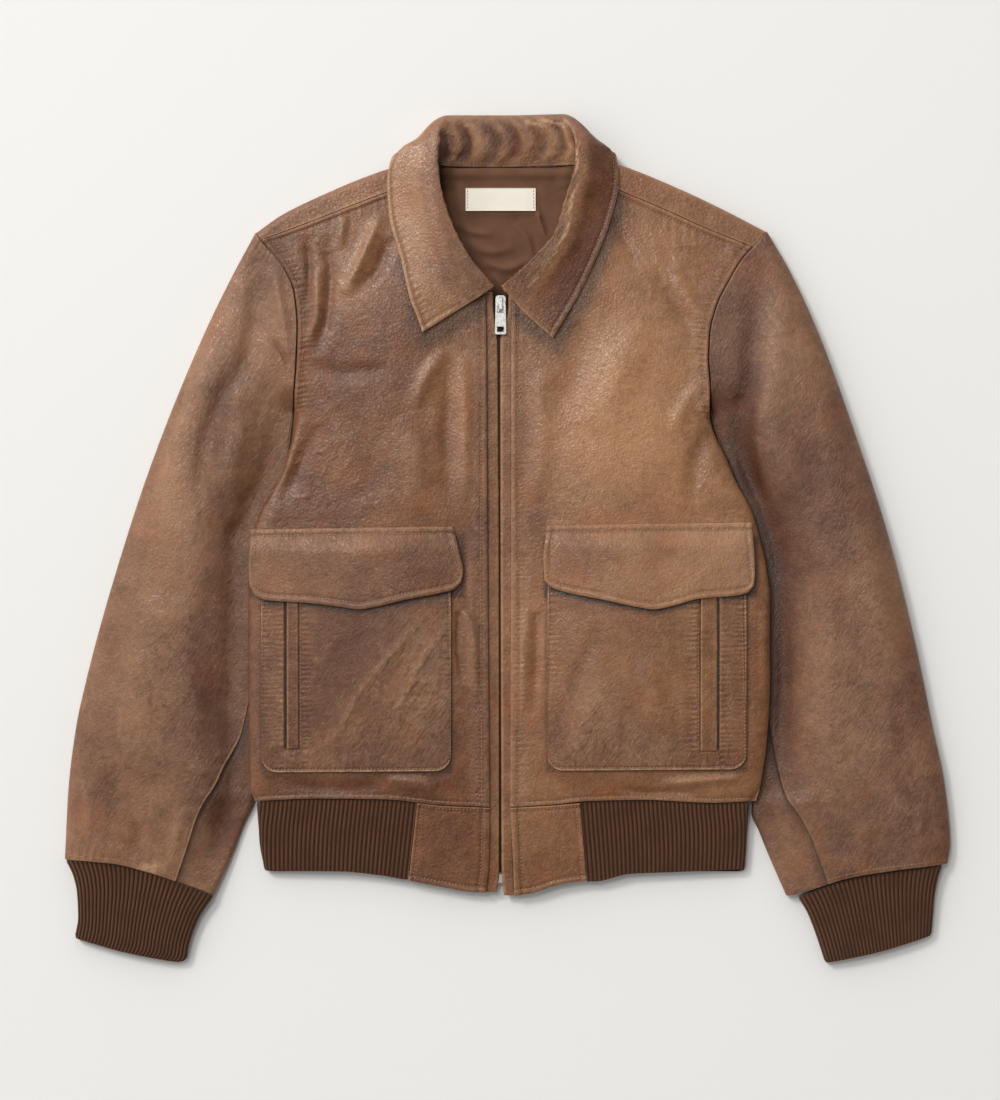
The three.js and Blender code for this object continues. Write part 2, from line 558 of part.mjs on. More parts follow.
// A strip along the closure between two lines x(y), from `high` down to `low`.
function stripGeometry(lineA, lineB, high, low, underside, thickness, count = 9) {
  const plan = (u, v) => {
    const y = mix(high, low, v);
    return [mix(lineA(y), lineB(y), u), y];
  };
  return layer(plan, steps(1), steps(count), underside, thickness);
}

const GUARD_DEPTH = LEATHER + SEAM;   // the guards lie this far under the tops of the fronts
const GUARD_TUCK = 6;                 // margin of a guard under the front's edge
const CHAIN_WIDTH = 4.6;
const CHAIN_THICK = 2.4;
const CHAIN_DEPTH = GUARD_DEPTH + TRIM + 0.5;
const TAPE_WIDTH = 11;
const zipLine = (y) => (right.guardX(y) + left.guardX(y)) / 2;
const SLIDER = { y: 210.3, length: 15, width: 9, height: 4.2, sunk: 1.9 };
const PULL_PIVOT = { back: 1.2, above: 1.6 };   // the tab's bar, from the middle of the slider's top
const ZIP_BOX = { y: -307, width: 6.4, length: 8, height: 2.8 };

function guardGeometry(side) {
  const outer = (y) => side.frontX(y) + side.sign * GUARD_TUCK;
  const under = (x, y) => fullHeight(x, y) - GUARD_DEPTH - TRIM;
  const low = side.frontEdge[0][0];
  return stripGeometry(side.guardX, outer, 221, low, under, TRIM);
}

function tapeGeometry(side) {
  const widen = table([[150, 0], [198, 3.2], [222, 3.2]]);
  const inner = (y) => zipLine(y) + side.sign * (CHAIN_WIDTH / 2 + SEAM + widen(y));
  const outer = (y) => zipLine(y) + side.sign * (CHAIN_WIDTH / 2 + TAPE_WIDTH);
  const under = (x, y) => fullHeight(x, y) - CHAIN_DEPTH - CHAIN_THICK / 2;
  return stripGeometry(inner, outer, 219, -301.5, under, TAPE_CLOTH);
}

function chainGeometry() {
  const edge = (way) => (y) => zipLine(y) + way * CHAIN_WIDTH / 2;
  const under = (x, y) => fullHeight(x, y) - CHAIN_DEPTH - CHAIN_THICK;
  const high = SLIDER.y - SLIDER.length / 2 - SEAM;
  return stripGeometry(edge(-1), edge(1), high, -302, under, CHAIN_THICK);
}

// ---- collar: stations round the neck; each runs from the neck seam up the stand (its middle point
// comes from its neighbours), over the roll and out along the leaf. In front z is the height above
// the body, behind it is the height above the floor. ----
const COLLAR_STATIONS = [
  { onFront: true, points: [[-14, 222, 1.6], [-11.2, 225, 5.2], [-18, 220, 4.6], [-40, 206, 2.8], [-75, 184, 2]] },
  { onFront: true, points: [[-28, 229, 1.8], [-20, 235, 8], [-28, 230, 6.8], [-49, 216, 3.4], [-79, 196, 2]] },
  { onFront: true, points: [[-46, 246, 2.2], [-34, 253, 9.5], [-42, 248, 8.2], [-63, 231, 3.8], [-86, 214, 2]] },
  { onFront: true, points: [[-63, 276, 2.6], [-49, 282, 11], [-58, 278, 9.8], [-77, 266, 4.6], [-95, 252, 2.1]] },
  { onFront: true, points: [[-72, 304, 3], [-58, 310, 12], [-68, 308, 10.8], [-87, 300, 5], [-105, 290, 2.2]] },
  { onFront: true, points: [[-74, 322, 3], [-61, 332, 12], [-71, 330, 11.2], [-92, 325, 6], [-107, 319, 2.3]] },
  { onFront: false, points: [[-70, 334, 15], [-61, 351, 23], [-73, 352, 21.5], [-90, 350, 17], [-101.5, 342, 12.5]] },
  { onFront: false, points: [[-63, 336, 13], [-60, 366, 19.5], [-70, 367, 16], [-80, 359, 6.5], [-68, 349, 1.5]] },
  { onFront: false, points: [[-50, 335, 7], [-51, 375, 14], [-53, 380, 8], [-51, 374, 2], [-51, 340, 1.4]] },
  { onFront: false, points: [[-1, 335, 4.4], [-1, 375, 13.5], [-1, 380, 7.5], [-1, 374, 1.8], [-1, 338, 1.4]] },
  { onFront: false, points: [[50, 336, 7], [51, 377, 14], [52, 381, 8], [51, 375, 2], [51, 340, 1.4]] },
  { onFront: false, points: [[63, 336, 13], [60, 366, 19.5], [68, 369, 16], [80, 359, 6.5], [68, 349, 1.5]] },
  { onFront: false, points: [[70, 334, 15], [64, 351, 23], [76, 352, 21.5], [89, 350, 17], [98.5, 343.5, 12.5]] },
  { onFront: true, points: [[74, 322, 3], [61, 330, 12], [71, 329, 11.2], [89, 324, 6], [101, 319, 2.3]] },
  { onFront: true, points: [[67, 300, 3], [54, 305, 12], [63, 302, 10.8], [77, 296, 5], [94, 286, 2.2]] },
  { onFront: true, points: [[54, 268, 2.6], [44, 273, 10.5], [51, 269, 9.4], [65, 258, 4.6], [79, 247, 2.1]] },
  { onFront: true, points: [[36, 245, 2.2], [26, 252, 9.5], [33, 247, 8.2], [48, 231, 3.8], [63, 214, 2]] },
  { onFront: true, points: [[12.6, 227, 1.8], [5.9, 233, 7.5], [12.6, 227, 6.4], [27, 212, 3.4], [48, 189, 2]] },
  { onFront: true, points: [[-1.4, 221, 1.6], [-3.8, 225, 5], [0.9, 219, 4.4], [15.3, 203, 2.8], [42, 179, 2]] },
];
const STAND_LEAN = 0.22;      // how far the stand's middle leans in from its straight line

function collarGeometry() {
  const placed = COLLAR_STATIONS.map(({ onFront, points }) => {
    const lifted = points.map(([x, y, z]) => [x, y, onFront ? z + bodyTop(x, y) : z]);
    const [foot, crest, fold] = lifted;
    const middle = foot.map((c, k) => mix(c, crest[k], 0.5) + STAND_LEAN * (crest[k] - fold[k]));
    return [foot, middle, ...lifted.slice(1)];
  });
  const rails = placed[0].map((_, k) => track(placed.map((station) => station[k])));
  const across = [0, 0.2, 0.34, 0.43, 0.52, 0.62, 0.74, 0.87, 1];
  const middle = steps(26).map((v) => {
    const profile = track(rails.map((rail) => rail(v)));
    return across.map((u) => profile(u));
  });
  return wallBetween(offset(middle, COLLAR_CLOTH / 2), offset(middle, -COLLAR_CLOTH / 2));
}

// ---- neck: the lining where it shows, and the blank label on it ----
const liningWest = table([[203, -26], [222, -36], [240, -48], [270, -62], [300, -70], [320, -64], [333.4, -56]]);
const liningEast = table([[203, 18], [222, 26], [240, 42], [270, 56], [300, 64], [320, 62], [333.4, 56]]);
const LINING_LOW = 203;
const LINING_HIGH = 333.4;

// The lining lies on the back panel and climbs over its turned edge at the nape and the shoulders.
function liningHeight(x, y) {
  const nape = 2.8 * ease((y - 321) / 8);
  const corner = 3 * ease((Math.abs(x) - 42) / 14) * ease((y - 312) / 10);
  return LEATHER + LAY + nape + corner;
}

function liningGeometry() {
  const plan = (u, v) => {
    const y = mix(LINING_HIGH, LINING_LOW, v);
    return [mix(liningWest(y), liningEast(y), u), y];
  };
  return layer(plan, steps(10), [0, 0.04, 0.08, 0.12, 0.3, 0.5, 0.7, 0.85, 1], liningHeight, LINING_CLOTH);
}

function labelGeometry() {
  const plan = (u, v) => [mix(-36.6, 26.6, u), mix(316, 295.4, v)];
  const under = (x, y) => liningHeight(x, y) + LINING_CLOTH + LAY;
  return layer(plan, steps(4), steps(4), under, LINING_CLOTH);
}

// ---- pockets: patch, welt along the side entry, pointed flap ----
function pocketShape(side) {
  const { outer, inner, top, bottom, slant } = side.pocket;
  const width = Math.abs(outer - inner);
  const reach = (u) => {
    const d = Math.min(u, 1 - u) * width;
    const tilt = slant * (u - 0.5);
    if (d >= POCKET_CORNER) return bottom + tilt;
    const drop = POCKET_CORNER - d;
    return bottom + tilt + POCKET_CORNER - Math.sqrt(POCKET_CORNER ** 2 - drop ** 2);
  };
  const lift = (u, v) => LAY + POCKET_PUFF * Math.sin(Math.PI * u) * Math.cos(v * Math.PI / 2);
  const plan = (u, v) => [mix(outer, inner, u), mix(top, reach(u), v)];
  const topAt = (x, y) => {
    const u = clamp((x - outer) / (inner - outer), 0, 1);
    return bodyTop(x, y) + TRIM + lift(u, clamp((top - y) / (top - reach(u)), 0, 1));
  };
  return { plan, lift, topAt };
}

function pocketGeometry(side) {
  const { plan, lift } = pocketShape(side);
  const columns = [0, 0.02, 0.07, 0.22, 0.4, 0.6, 0.78, 0.93, 0.98, 1];
  return layer(plan, columns, steps(4), (x, y, u, v) => bodyTop(x, y) + lift(u, v), TRIM);
}

function weltGeometry(side) {
  const { outer, inner, top, bottom } = side.welt;
  const { topAt } = pocketShape(side);
  const plan = (u, v) => [mix(outer, inner, u), mix(top, bottom, v)];
  return layer(plan, steps(2), steps(8), (x, y) => topAt(x, y) + LAY, TRIM);
}

function flapGeometry(side) {
  const [west, east] = side === right ? [side.flapOuter, side.flapInner] : [side.flapInner, side.flapOuter];
  const [westX, eastX] = [table(west), table(east)];
  const seam = table(side.flapSeam);
  const end = table(side.flapEnd);
  const steady = (x, y) => {
    const edge = side.edgeX(y) - side.sign * SIDE_ROUND;
    const over = Math.max(0, side.sign * (x - edge)) / SIDE_ROUND;
    return bodyTop(side.sign * Math.min(side.sign * x, side.sign * edge), y) - 3 * over * over;
  };
  const plan = (u, v) => {
    const seamX = mix(side.flapSeam[0][0], side.flapSeam[1][0], u);
    const y = mix(seam(seamX), end(u), v);
    return [mix(westX(y), eastX(y), u), y];
  };
  const under = (x, y, u) => steady(x, y) + LAY
    + (TRIM + 0.9 + POCKET_PUFF * Math.sin(Math.PI * u)) * ease((seam(x) - y) / 22);
  const columns = [0, 0.03, 0.08, 0.27, 0.44, 0.52, 0.6, 0.74, 0.92, 0.97, 1];
  return layer(plan, columns, steps(4), under, TRIM);
}

// ---- metal of the zip ----
const solidOf = (geometry) => {
  const bare = geometry.clone();
  bare.deleteAttribute('normal');
  bare.deleteAttribute('uv');
  const merged = mergeVertices(bare, 1e-4);
  return new wasm.Manifold(new wasm.Mesh({
    numProp: 3,
    vertProperties: merged.attributes.position.array,
    triVerts: new Uint32Array(merged.index.array),
  }));
};
const geometryOf = (solid) => {
  const mesh = solid.getMesh();
  const geometry = new THREE.BufferGeometry();
  geometry.setAttribute('position', new THREE.BufferAttribute(mesh.vertProperties, 3));
  geometry.setIndex(new THREE.BufferAttribute(mesh.triVerts, 1));
  geometry.computeVertexNormals();
  return geometry;
};

function roundedOutline(width, length, radius) {
  const [w, l] = [width / 2, length / 2];
  const outline = new THREE.Shape();
  outline.moveTo(-w + radius, -l);
  outline.lineTo(w - radius, -l);
  outline.absarc(w - radius, -l + radius, radius, -Math.PI / 2, 0);
  outline.absarc(w - radius, l - radius, radius, 0, Math.PI / 2);
  outline.absarc(-w + radius, l - radius, radius, Math.PI / 2, Math.PI);
  outline.absarc(-w + radius, -l + radius, radius, Math.PI, 1.5 * Math.PI);
  return outline;
}

const extrude = (outline, depth) => new THREE.ExtrudeGeometry(outline, {
  depth, bevelEnabled: false, curveSegments: 3 });

// The slider in its own frame: the body below z = 0, a bridge over it along y for the pull tab.
const BRIDGE = { width: 3, length: 13, height: 4.4, wall: 1.2, eyeLow: 0.3 };

function sliderGeometry() {
  const body = extrude(roundedOutline(SLIDER.width, SLIDER.length, 2.5), SLIDER.height);
  body.translate(0, 0, -SLIDER.height);
  const arch = new THREE.Shape();
  const half = BRIDGE.length / 2;
  arch.moveTo(-half, -1);
  arch.lineTo(half, -1);
  arch.lineTo(half, BRIDGE.height - 1.6);
  arch.lineTo(half - 1.6, BRIDGE.height);
  arch.lineTo(-half + 1.6, BRIDGE.height);
  arch.lineTo(-half, BRIDGE.height - 1.6);
  const eye = new THREE.Path();
  const inner = half - BRIDGE.wall;
  const eyeTop = BRIDGE.height - BRIDGE.wall;
  eye.moveTo(-inner, BRIDGE.eyeLow);
  eye.lineTo(-inner, eyeTop);
  eye.lineTo(inner, eyeTop);
  eye.lineTo(inner, BRIDGE.eyeLow);
  arch.holes.push(eye);
  const bridge = extrude(arch, BRIDGE.width);
  bridge.translate(0, 0, -BRIDGE.width / 2);
  bridge.rotateX(Math.PI / 2);
  bridge.rotateZ(Math.PI / 2);
  return geometryOf(solidOf(body).add(solidOf(bridge)));
}

// The pull tab in its own frame: its top bar on the x axis, the tab running towards -y.
const TAB = {
  topWidth: 9, bottomWidth: 10.2, length: 26.4, thick: 1.4, bar: 0.7, slotWidth: 5.4, slotEnd: -7, holeHalf: 3.2,
};

function pullGeometry() {
  const { topWidth, bottomWidth, length, thick, bar, slotWidth, slotEnd, holeHalf } = TAB;
  const tab = new THREE.Shape();
  tab.moveTo(-topWidth / 2, bar);
  tab.lineTo(-bottomWidth / 2, -length + 1);
  tab.lineTo(-bottomWidth / 2 + 1, -length);
  tab.lineTo(bottomWidth / 2 - 1, -length);
  tab.lineTo(bottomWidth / 2, -length + 1);
  tab.lineTo(topWidth / 2, bar);
  const window = (halfWidth, high, low) => {
    const hole = new THREE.Path();
    hole.moveTo(-halfWidth, high);
    hole.lineTo(-halfWidth, low);
    hole.lineTo(halfWidth, low);
    hole.lineTo(halfWidth, high);
    tab.holes.push(hole);
  };
  window(slotWidth / 2, -bar, slotEnd);
  window(holeHalf, -length + 7, -length + 2.2);
  const plate = extrude(tab, thick);
  plate.translate(0, 0, -thick / 2);
  return plate;
}

// ---- the jacket ----
const material = (color, roughness, metalness = 0) => new THREE.MeshStandardMaterial({
  color, roughness, metalness });
const leather = material(0x7d5a44, 0.55);
const leatherLight = material(0x8f6b52, 0.5);
const rib = material(0x4b3223, 0.95);
const liningCloth = material(0x7b5944, 0.8);
const labelCloth = material(0xebe4d7, 0.85);
const tapeCloth = material(0x3d2a20, 0.9);
const metal = material(0xb8b6b0, 0.3, 1);

const jacket = new THREE.Group();
function add(name, geometry, finish, position = [0, 0, 0]) {
  const mesh = new THREE.Mesh(geometry, finish.clone());
  mesh.name = name;
  mesh.position.set(...position);
  jacket.add(mesh);
}

add('back', backGeometry(), leather);
add('waist_rib', waistRibGeometry(), rib);
for (const side of SIDES) {
  add(`front_${side.name}`, frontGeometry(side), leather);
  for (const length of SLEEVE_LENGTHS) {
    add(`sleeve_upper_${side.name}_${length.name}`, sleeveGeometry(side, 'upper', length), leather);
    add(`sleeve_under_${side.name}_${length.name}`, sleeveGeometry(side, 'under', length), leather);
  }
  add(`cuff_${side.name}`, cuffGeometry(side), rib);
  add(`hem_panel_${side.name}`, hemPanelGeometry(side), leather);
  add(`zip_guard_${side.name}`, guardGeometry(side), leather);
  add(`zip_tape_${side.name}`, tapeGeometry(side), tapeCloth);
  add(`pocket_${side.name}`, pocketGeometry(side), leatherLight);
  add(`pocket_welt_${side.name}`, weltGeometry(side), leather);
  add(`flap_${side.name}`, flapGeometry(side), leatherLight);
}
add('collar', collarGeometry(), leatherLight);
add('lining_neck', liningGeometry(), liningCloth);
add('label', labelGeometry(), labelCloth);

const sliderTop = fullHeight(CLOSURE_X, SLIDER.y) - SLIDER.sunk;
const pullPlace = [CLOSURE_X, SLIDER.y - PULL_PIVOT.back, sliderTop + PULL_PIVOT.above];
const boxX = zipLine(ZIP_BOX.y);
const boxLow = fullHeight(boxX, ZIP_BOX.y) - CHAIN_DEPTH - ZIP_BOX.height;
const boxGeometry = extrude(roundedOutline(ZIP_BOX.width, ZIP_BOX.length, 0.8), ZIP_BOX.height);
add('zip_chain', chainGeometry(), metal);
add('zip_slider', sliderGeometry(), metal, [CLOSURE_X, SLIDER.y, sliderTop]);
add('zip_pull', pullGeometry(), metal, pullPlace);
add('zip_box', boxGeometry, metal, [boxX, ZIP_BOX.y, boxLow]);

export default jacket;
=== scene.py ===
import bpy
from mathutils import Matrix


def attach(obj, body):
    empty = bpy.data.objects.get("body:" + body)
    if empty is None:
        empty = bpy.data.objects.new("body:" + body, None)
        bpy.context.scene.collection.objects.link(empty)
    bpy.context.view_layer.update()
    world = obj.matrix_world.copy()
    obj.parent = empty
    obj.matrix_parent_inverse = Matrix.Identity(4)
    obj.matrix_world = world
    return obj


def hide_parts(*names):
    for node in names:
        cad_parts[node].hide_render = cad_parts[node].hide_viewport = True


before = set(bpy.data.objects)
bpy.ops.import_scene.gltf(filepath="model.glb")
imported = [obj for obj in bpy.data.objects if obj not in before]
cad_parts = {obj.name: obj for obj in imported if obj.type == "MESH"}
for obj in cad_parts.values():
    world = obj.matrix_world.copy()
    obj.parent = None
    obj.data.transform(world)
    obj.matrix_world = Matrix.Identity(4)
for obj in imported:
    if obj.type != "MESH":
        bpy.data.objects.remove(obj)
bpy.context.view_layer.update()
# A worn leather flight jacket, zipped up and laid flat on its back: the fine cloth, sewing and finish.
# Lengths are in millimetres up to add_piece(), which makes the meshes in metres. +Z is up and +Y is
# towards the collar. Right and left are the wearer's: the right side is at -X.
from types import SimpleNamespace

import bmesh
import bpy
import numpy as np

MM = 0.001
JACKET = "jacket"

# ---- cloth and gaps ----
LEATHER = 2.0
TRIM = 1.7
COLLAR_CLOTH = 2.4
RIB_CLOTH = 3.0
LINING_CLOTH = 1.0
TAPE_CLOTH = 0.8
SEAM = 0.4
LAY = 0.5
ARMHOLE_GAP = 0.55
CLOSURE_X = -5.0
SHOULDER_TOP = 12.4
FOLD_RADIUS = SHOULDER_TOP / 2
NECK_RADIUS = 2.3
SIDE_ROUND = 16
SHOULDER_RISE = 120
CROWN_SPAN = 200
TUCK_HEIGHT = 7.8
TUCK_FLAT = 6
TUCK_SLOPE = 24
SLEEVE_LIP = 6.4
SLEEVE_OUTER_FOLD = 9
SLEEVE_SHOULDER = 45
HIND_SEAM = 0.4
POCKET_PUFF = 2.6
POCKET_CORNER = 14
UNDERARM_SPREAD = 34
CUT_EDGE = 0.8                # radius that rounds off the edge of a leather piece
TOPSTITCH = 5.2               # usual distance from an edge to its topstitching
STITCH_PITCH = 3.1
RIB_PITCH = 4.0


# ---- camera: straight above, as far off as its lens needs to hold the whole jacket ----
def make_camera():
    """A long lens looking straight down on the middle of the jacket, with its top towards the collar."""
    view_centre = (-0.0055, -0.0108)
    view_height = 0.990       # length of surface that the picture's long side spans
    sensor, lens = 0.036, 0.085
    data = bpy.data.cameras.new("camera")
    data.sensor_fit = "VERTICAL"
    data.sensor_height = sensor * 1000
    data.sensor_width = sensor * 1000
    data.lens = lens * 1000
    camera = bpy.data.objects.new("camera", data)
    camera.location = (*view_centre, view_height * lens / sensor + 0.012)
    bpy.context.scene.collection.objects.link(camera)
    bpy.context.scene.camera = camera


make_camera()


# ---- curves ----
def mix(a, b, t):
    return a + (b - a) * t


def ease(t):
    """A smooth step: 3t² - 2t³ between 0 and 1, flat outside them."""
    c = np.clip(t, 0, 1)
    return c * c * (3 - 2 * c)


def round_off(t):
    """A quarter of a circle, rising steeply from 0 at t = 0 to 1 at t = 1."""
    c = np.clip(t, 0, 1)
    return np.sqrt(1 - (1 - c) ** 2)


def spline(keys, values):
    """A monotone cubic through (key, value) points: a Hermite cubic between each two keys, whose slope
    at a key is the weighted harmonic mean of the slopes beside it. Values may have several columns."""
    keys = np.asarray(keys, float)
    values = np.asarray(values, float)
    flat = values.reshape(len(keys), -1)
    step = np.diff(keys)[:, None]
    slope = np.diff(flat, axis=0) / step
    tangent = np.zeros_like(flat)
    tangent[0], tangent[-1] = slope[0], slope[-1]
    before, after = slope[:-1], slope[1:]
    heavy, light = 2 * step[1:] + step[:-1], step[1:] + 2 * step[:-1]
    same = before * after > 0
    mean = (heavy + light) / (heavy / np.where(same, before, 1) + light / np.where(same, after, 1))
    tangent[1:-1] = np.where(same, mean, 0)

    def at(key):
        k = np.clip(np.asarray(key, float), keys[0], keys[-1])
        i = np.clip(np.searchsorted(keys, k, side="right") - 1, 0, len(keys) - 2)
        h = step[i]
        t = (k - keys[i])[..., None] / h
        t2, t3 = t * t, t * t * t
        made = (flat[i] * (2 * t3 - 3 * t2 + 1) + tangent[i] * h * (t3 - 2 * t2 + t)
                + flat[i + 1] * (3 * t2 - 2 * t3) + tangent[i + 1] * h * (t3 - t2))
        return made.reshape(k.shape + values.shape[1:])
    return at


def table(pairs):
    """One coordinate as a smooth function of another, from pairs in rising order of the first."""
    pairs = np.asarray(pairs, float)
    return spline(pairs[:, 0], pairs[:, 1])


def track(points):
    """A smooth curve through points, followed by a fraction of its length from 0 to 1."""
    points = np.asarray(points, float)
    along = np.concatenate([[0], np.cumsum(np.linalg.norm(np.diff(points, axis=0), axis=1))])
    return spline(along / along[-1], points)


def chain(first, second, share):
    """Two curves one after the other, the first for t up to share."""
    def at(t):
        t = np.asarray(t, float)
        early = first(np.clip(t / share, 0, 1))
        late = second(np.clip((t - share) / (1 - share), 0, 1))
        return np.where((t < share)[..., None], early, late)
    return at


def patch(bottom, top, start, end):
    """A surface in plan between four edges (a Coons patch): the two ruled surfaces between opposite
    edges added, less the flat patch on the corners. u runs along bottom and top, v along the sides."""
    def at(u, v):
        u, v = np.broadcast_arrays(np.asarray(u, float), np.asarray(v, float))
        corners = [bottom(0.0), bottom(1.0), top(0.0), top(1.0)]
        uu, vv = u[..., None], v[..., None]
        return ((1 - vv) * bottom(u) + vv * top(u) + (1 - uu) * start(v) + uu * end(v)
                - (1 - vv) * ((1 - uu) * corners[0] + uu * corners[1])
                - vv * ((1 - uu) * corners[2] + uu * corners[3]))
    return at


def fractions(length, pitch, edge=CUT_EDGE):
    """Places from 0 to 1 along a length: three close ones at each end, for its rounded edge, and
    steps of about pitch between them."""
    close = np.array([0, 0.12, 0.45, 1.0]) * edge / length
    count = max(2, int(round((length - 2 * edge) / pitch)))
    middle = np.linspace(close[-1], 1 - close[-1], count + 1)
    return np.concatenate([close[:-1], middle, 1 - close[-2::-1]])


# ---- outlines, one set for each side; x, y in plan ----
right = SimpleNamespace(
    name="right", sign=-1,
    body_edge=[(-220, -300), (-225, -240), (-230.4, -222), (-232.2, -146), (-232.2, -56),
               (-229.5, -2), (-219.6, 27), (-202.5, 57), (-194, 84), (-190.8, 111)],
    armhole=[(-225, 275.4), (-220.5, 268.2), (-199.8, 243), (-190.2, 220.5), (-187.2, 188),
             (-188.1, 158), (-190, 131), (-190.8, 111)],
    shoulder_fold=[(-225, 275.4), (-203.4, 290.7), (-169.2, 307.8), (-108.9, 332.1), (-68.4, 343)],
    shoulder_seam=[(-220.5, 268.2), (-185.4, 281), (-108.9, 310.5), (-76, 321.5)],
    neckline=[(-76, 321.5), (-68, 303), (-60, 277), (-43, 248), (-27, 231), (-17.8, 222)],
    hem=[(-226.8, -236.7), (-170, -234.5), (-110, -235), (-60, -240), (-14.8, -242)],
    front_edge=[(-319, -18), (-300, -15.6), (-240, -14.6), (100, -17.4), (222, -17.8)],
    guard_edge=[(-319, -8.2), (-304, -6.5), (-290, -6.2), (-240, -6.1), (176, -7.7), (190, -9.4), (205, -11.4), (222, -12)],
    sleeve_outer=[(-225.9, 275.8), (-247, 236), (-275.4, 176.8), (-319.5, 67.5), (-342.9, -2.3),
                  (-376.2, -118.8), (-387.9, -171.9), (-394.5, -225), (-397.8, -289.5)],
    sleeve_inner=[(-192, 111.4), (-194.6, 83), (-198.5, 56), (-209, 27), (-217.5, -2), (-220, -56),
                  (-220.5, -146), (-223.2, -200), (-226.9, -236.7), (-236.3, -258.3), (-246.6, -285.3),
                  (-263, -321.8)],
    sleeve_end=[(-397.8, -289.5), (-353, -292.9), (-323, -300.2), (-299.7, -307.8), (-263, -321.8)],
    sleeve_seam=[(0, 0.95), (0.5, 0.93), (0.68, 0.88), (0.78, 0.79), (0.9, 0.74), (1, 0.74)],
    cuff_outer=[(-397.8, -290.1), (-391, -304), (-387.5, -320), (-386.5, -342), (-389.4, -360.5)],
    cuff_inner=[(-263, -322.4), (-276.3, -342), (-286, -368), (-288, -379), (-293, -383.2)],
    cuff_start=[(-397.8, -290.1), (-353, -293.5), (-323, -300.8), (-299.7, -308.4), (-263, -322.4)],
    cuff_end=[(-389.4, -360.5), (-341, -374), (-293, -383.2)],
    rib_side=[(-301, -218), (-275, -222.8), (-240, -224.8)],
    rib_gap=[(-307, -87.8), (-237, -80)],
    panel_end=[(-89.5, -306.8), (-60, -313.2), (-30, -318.6), (-18, -319.2)],
    panel_top=[(-80, -238.3), (-60, -240.6), (-14.8, -242.6)],
    pocket=SimpleNamespace(outer=-219.5, inner=-49.6, top=-18, bottom=-210, slant=1.5),
    welt=SimpleNamespace(outer=-196.6, inner=-186.5, top=-61.5, bottom=-189),
    flap_seam=[(-229.6, 7.8), (-47.5, 10.2)],
    flap_outer=[(-44, -230.2), (-30, -231.2), (7.8, -229.6)],
    flap_inner=[(-42, -41), (-30, -38.3), (-15, -41.4), (10.2, -47.5)],
    flap_end=[(0, -42.5), (0.03, -51.8), (0.08, -55.8), (0.27, -58.2), (0.44, -62), (0.52, -64), (0.6, -61.6),
              (0.74, -55.4), (0.92, -48.7), (0.97, -46), (1, -40.5)])
left = SimpleNamespace(
    name="left", sign=1,
    body_edge=[(216, -300), (219.4, -240), (229.4, -222), (234.5, -185), (237.9, -125), (237.9, -58),
               (232.8, -19), (221.2, 24), (205.8, 53.6), (198.3, 70.7), (186.3, 97), (183.2, 109)],
    armhole=[(234.3, 276.3), (221.4, 261.9), (210.6, 249.3), (200.2, 231.8), (188.8, 209),
             (182.2, 182.4), (181.3, 160), (183, 135), (183.2, 109)],
    shoulder_fold=[(234.3, 276.3), (198, 295.2), (160.2, 313.2), (101.7, 336.9), (68.4, 346.5)],
    shoulder_seam=[(221.4, 261.9), (179.1, 279), (141.3, 296.1), (105.3, 311.4), (76, 323.5)],
    neckline=[(76, 323.5), (66, 299.7), (56, 275), (39, 249), (19, 231), (4.5, 222)],
    hem=[(225, -236.7), (186, -238.3), (124, -235.6), (78, -236.4), (40, -240), (3.8, -242)],
    front_edge=[(-322, 7.4), (-290, 6.2), (-240, 3.8), (100, 4.5), (222, 4.5)],
    guard_edge=[(-322, -1.8), (-305, -3.8), (-290, -4.2), (-240, -4.4), (176, -5.4), (190, -2.2), (205, 1.4), (222, 2)],
    sleeve_outer=[(235.2, 276.7), (255.2, 242), (281.7, 184.5), (304.2, 124.2), (347.7, -9),
                  (367.7, -89.1), (384.3, -168.3), (396, -225), (400.6, -276), (397.8, -293.5)],
    sleeve_inner=[(184.4, 109.4), (187.6, 95), (195, 70), (199.5, 53), (211.5, 24), (221.5, -19),
                  (225.5, -58), (226, -125), (225, -182), (222.4, -228), (221.6, -248), (228, -264),
                  (237.9, -288.5), (252.8, -322.8)],
    sleeve_end=[(397.8, -293.5), (341, -300.2), (307.8, -306), (264.6, -320), (252.8, -322.8)],
    sleeve_seam=[(0, 0.95), (0.5, 0.93), (0.66, 0.9), (0.77, 0.84), (0.9, 0.76), (1, 0.75)],
    cuff_outer=[(394, -295.3), (391, -303), (387.6, -318.6), (385.5, -340), (384.3, -358.2)],
    cuff_inner=[(262.8, -323.6), (270.9, -337), (279.5, -358), (287.7, -383.4)],
    cuff_start=[(394, -295.3), (341, -301.6), (307.8, -307.5), (262.8, -323.6)],
    cuff_end=[(384.3, -358.2), (334.3, -373.5), (287.7, -383.4)],
    rib_side=[(-299, 216), (-275, 217.6), (-240, 219)],
    rib_gap=[(-307, 72.6), (-237, 66.6)],
    panel_end=[(7.4, -322), (20, -321), (50.5, -313.4), (72.9, -311.4)],
    panel_top=[(3.8, -242.6), (40, -240.6), (66.6, -238.3)],
    pocket=SimpleNamespace(outer=215.6, inner=37.2, top=-18, bottom=-208.5, slant=-1),
    welt=SimpleNamespace(outer=189.3, inner=174.6, top=-61.5, bottom=-191),
    flap_seam=[(36.7, 11.2), (220.8, 13.9)],
    flap_outer=[(-44, 222), (-30, 223.2), (13.9, 220.8)],
    flap_inner=[(-39, 34.4), (-19, 33.2), (11.2, 36.7)],
    flap_end=[(0, -38.5), (0.03, -43.8), (0.08, -47.6), (0.27, -55), (0.44, -61.8), (0.52, -64), (0.6, -61.4),
              (0.74, -54.6), (0.92, -51.6), (0.97, -49.2), (1, -43)])
SIDES = (right, left)
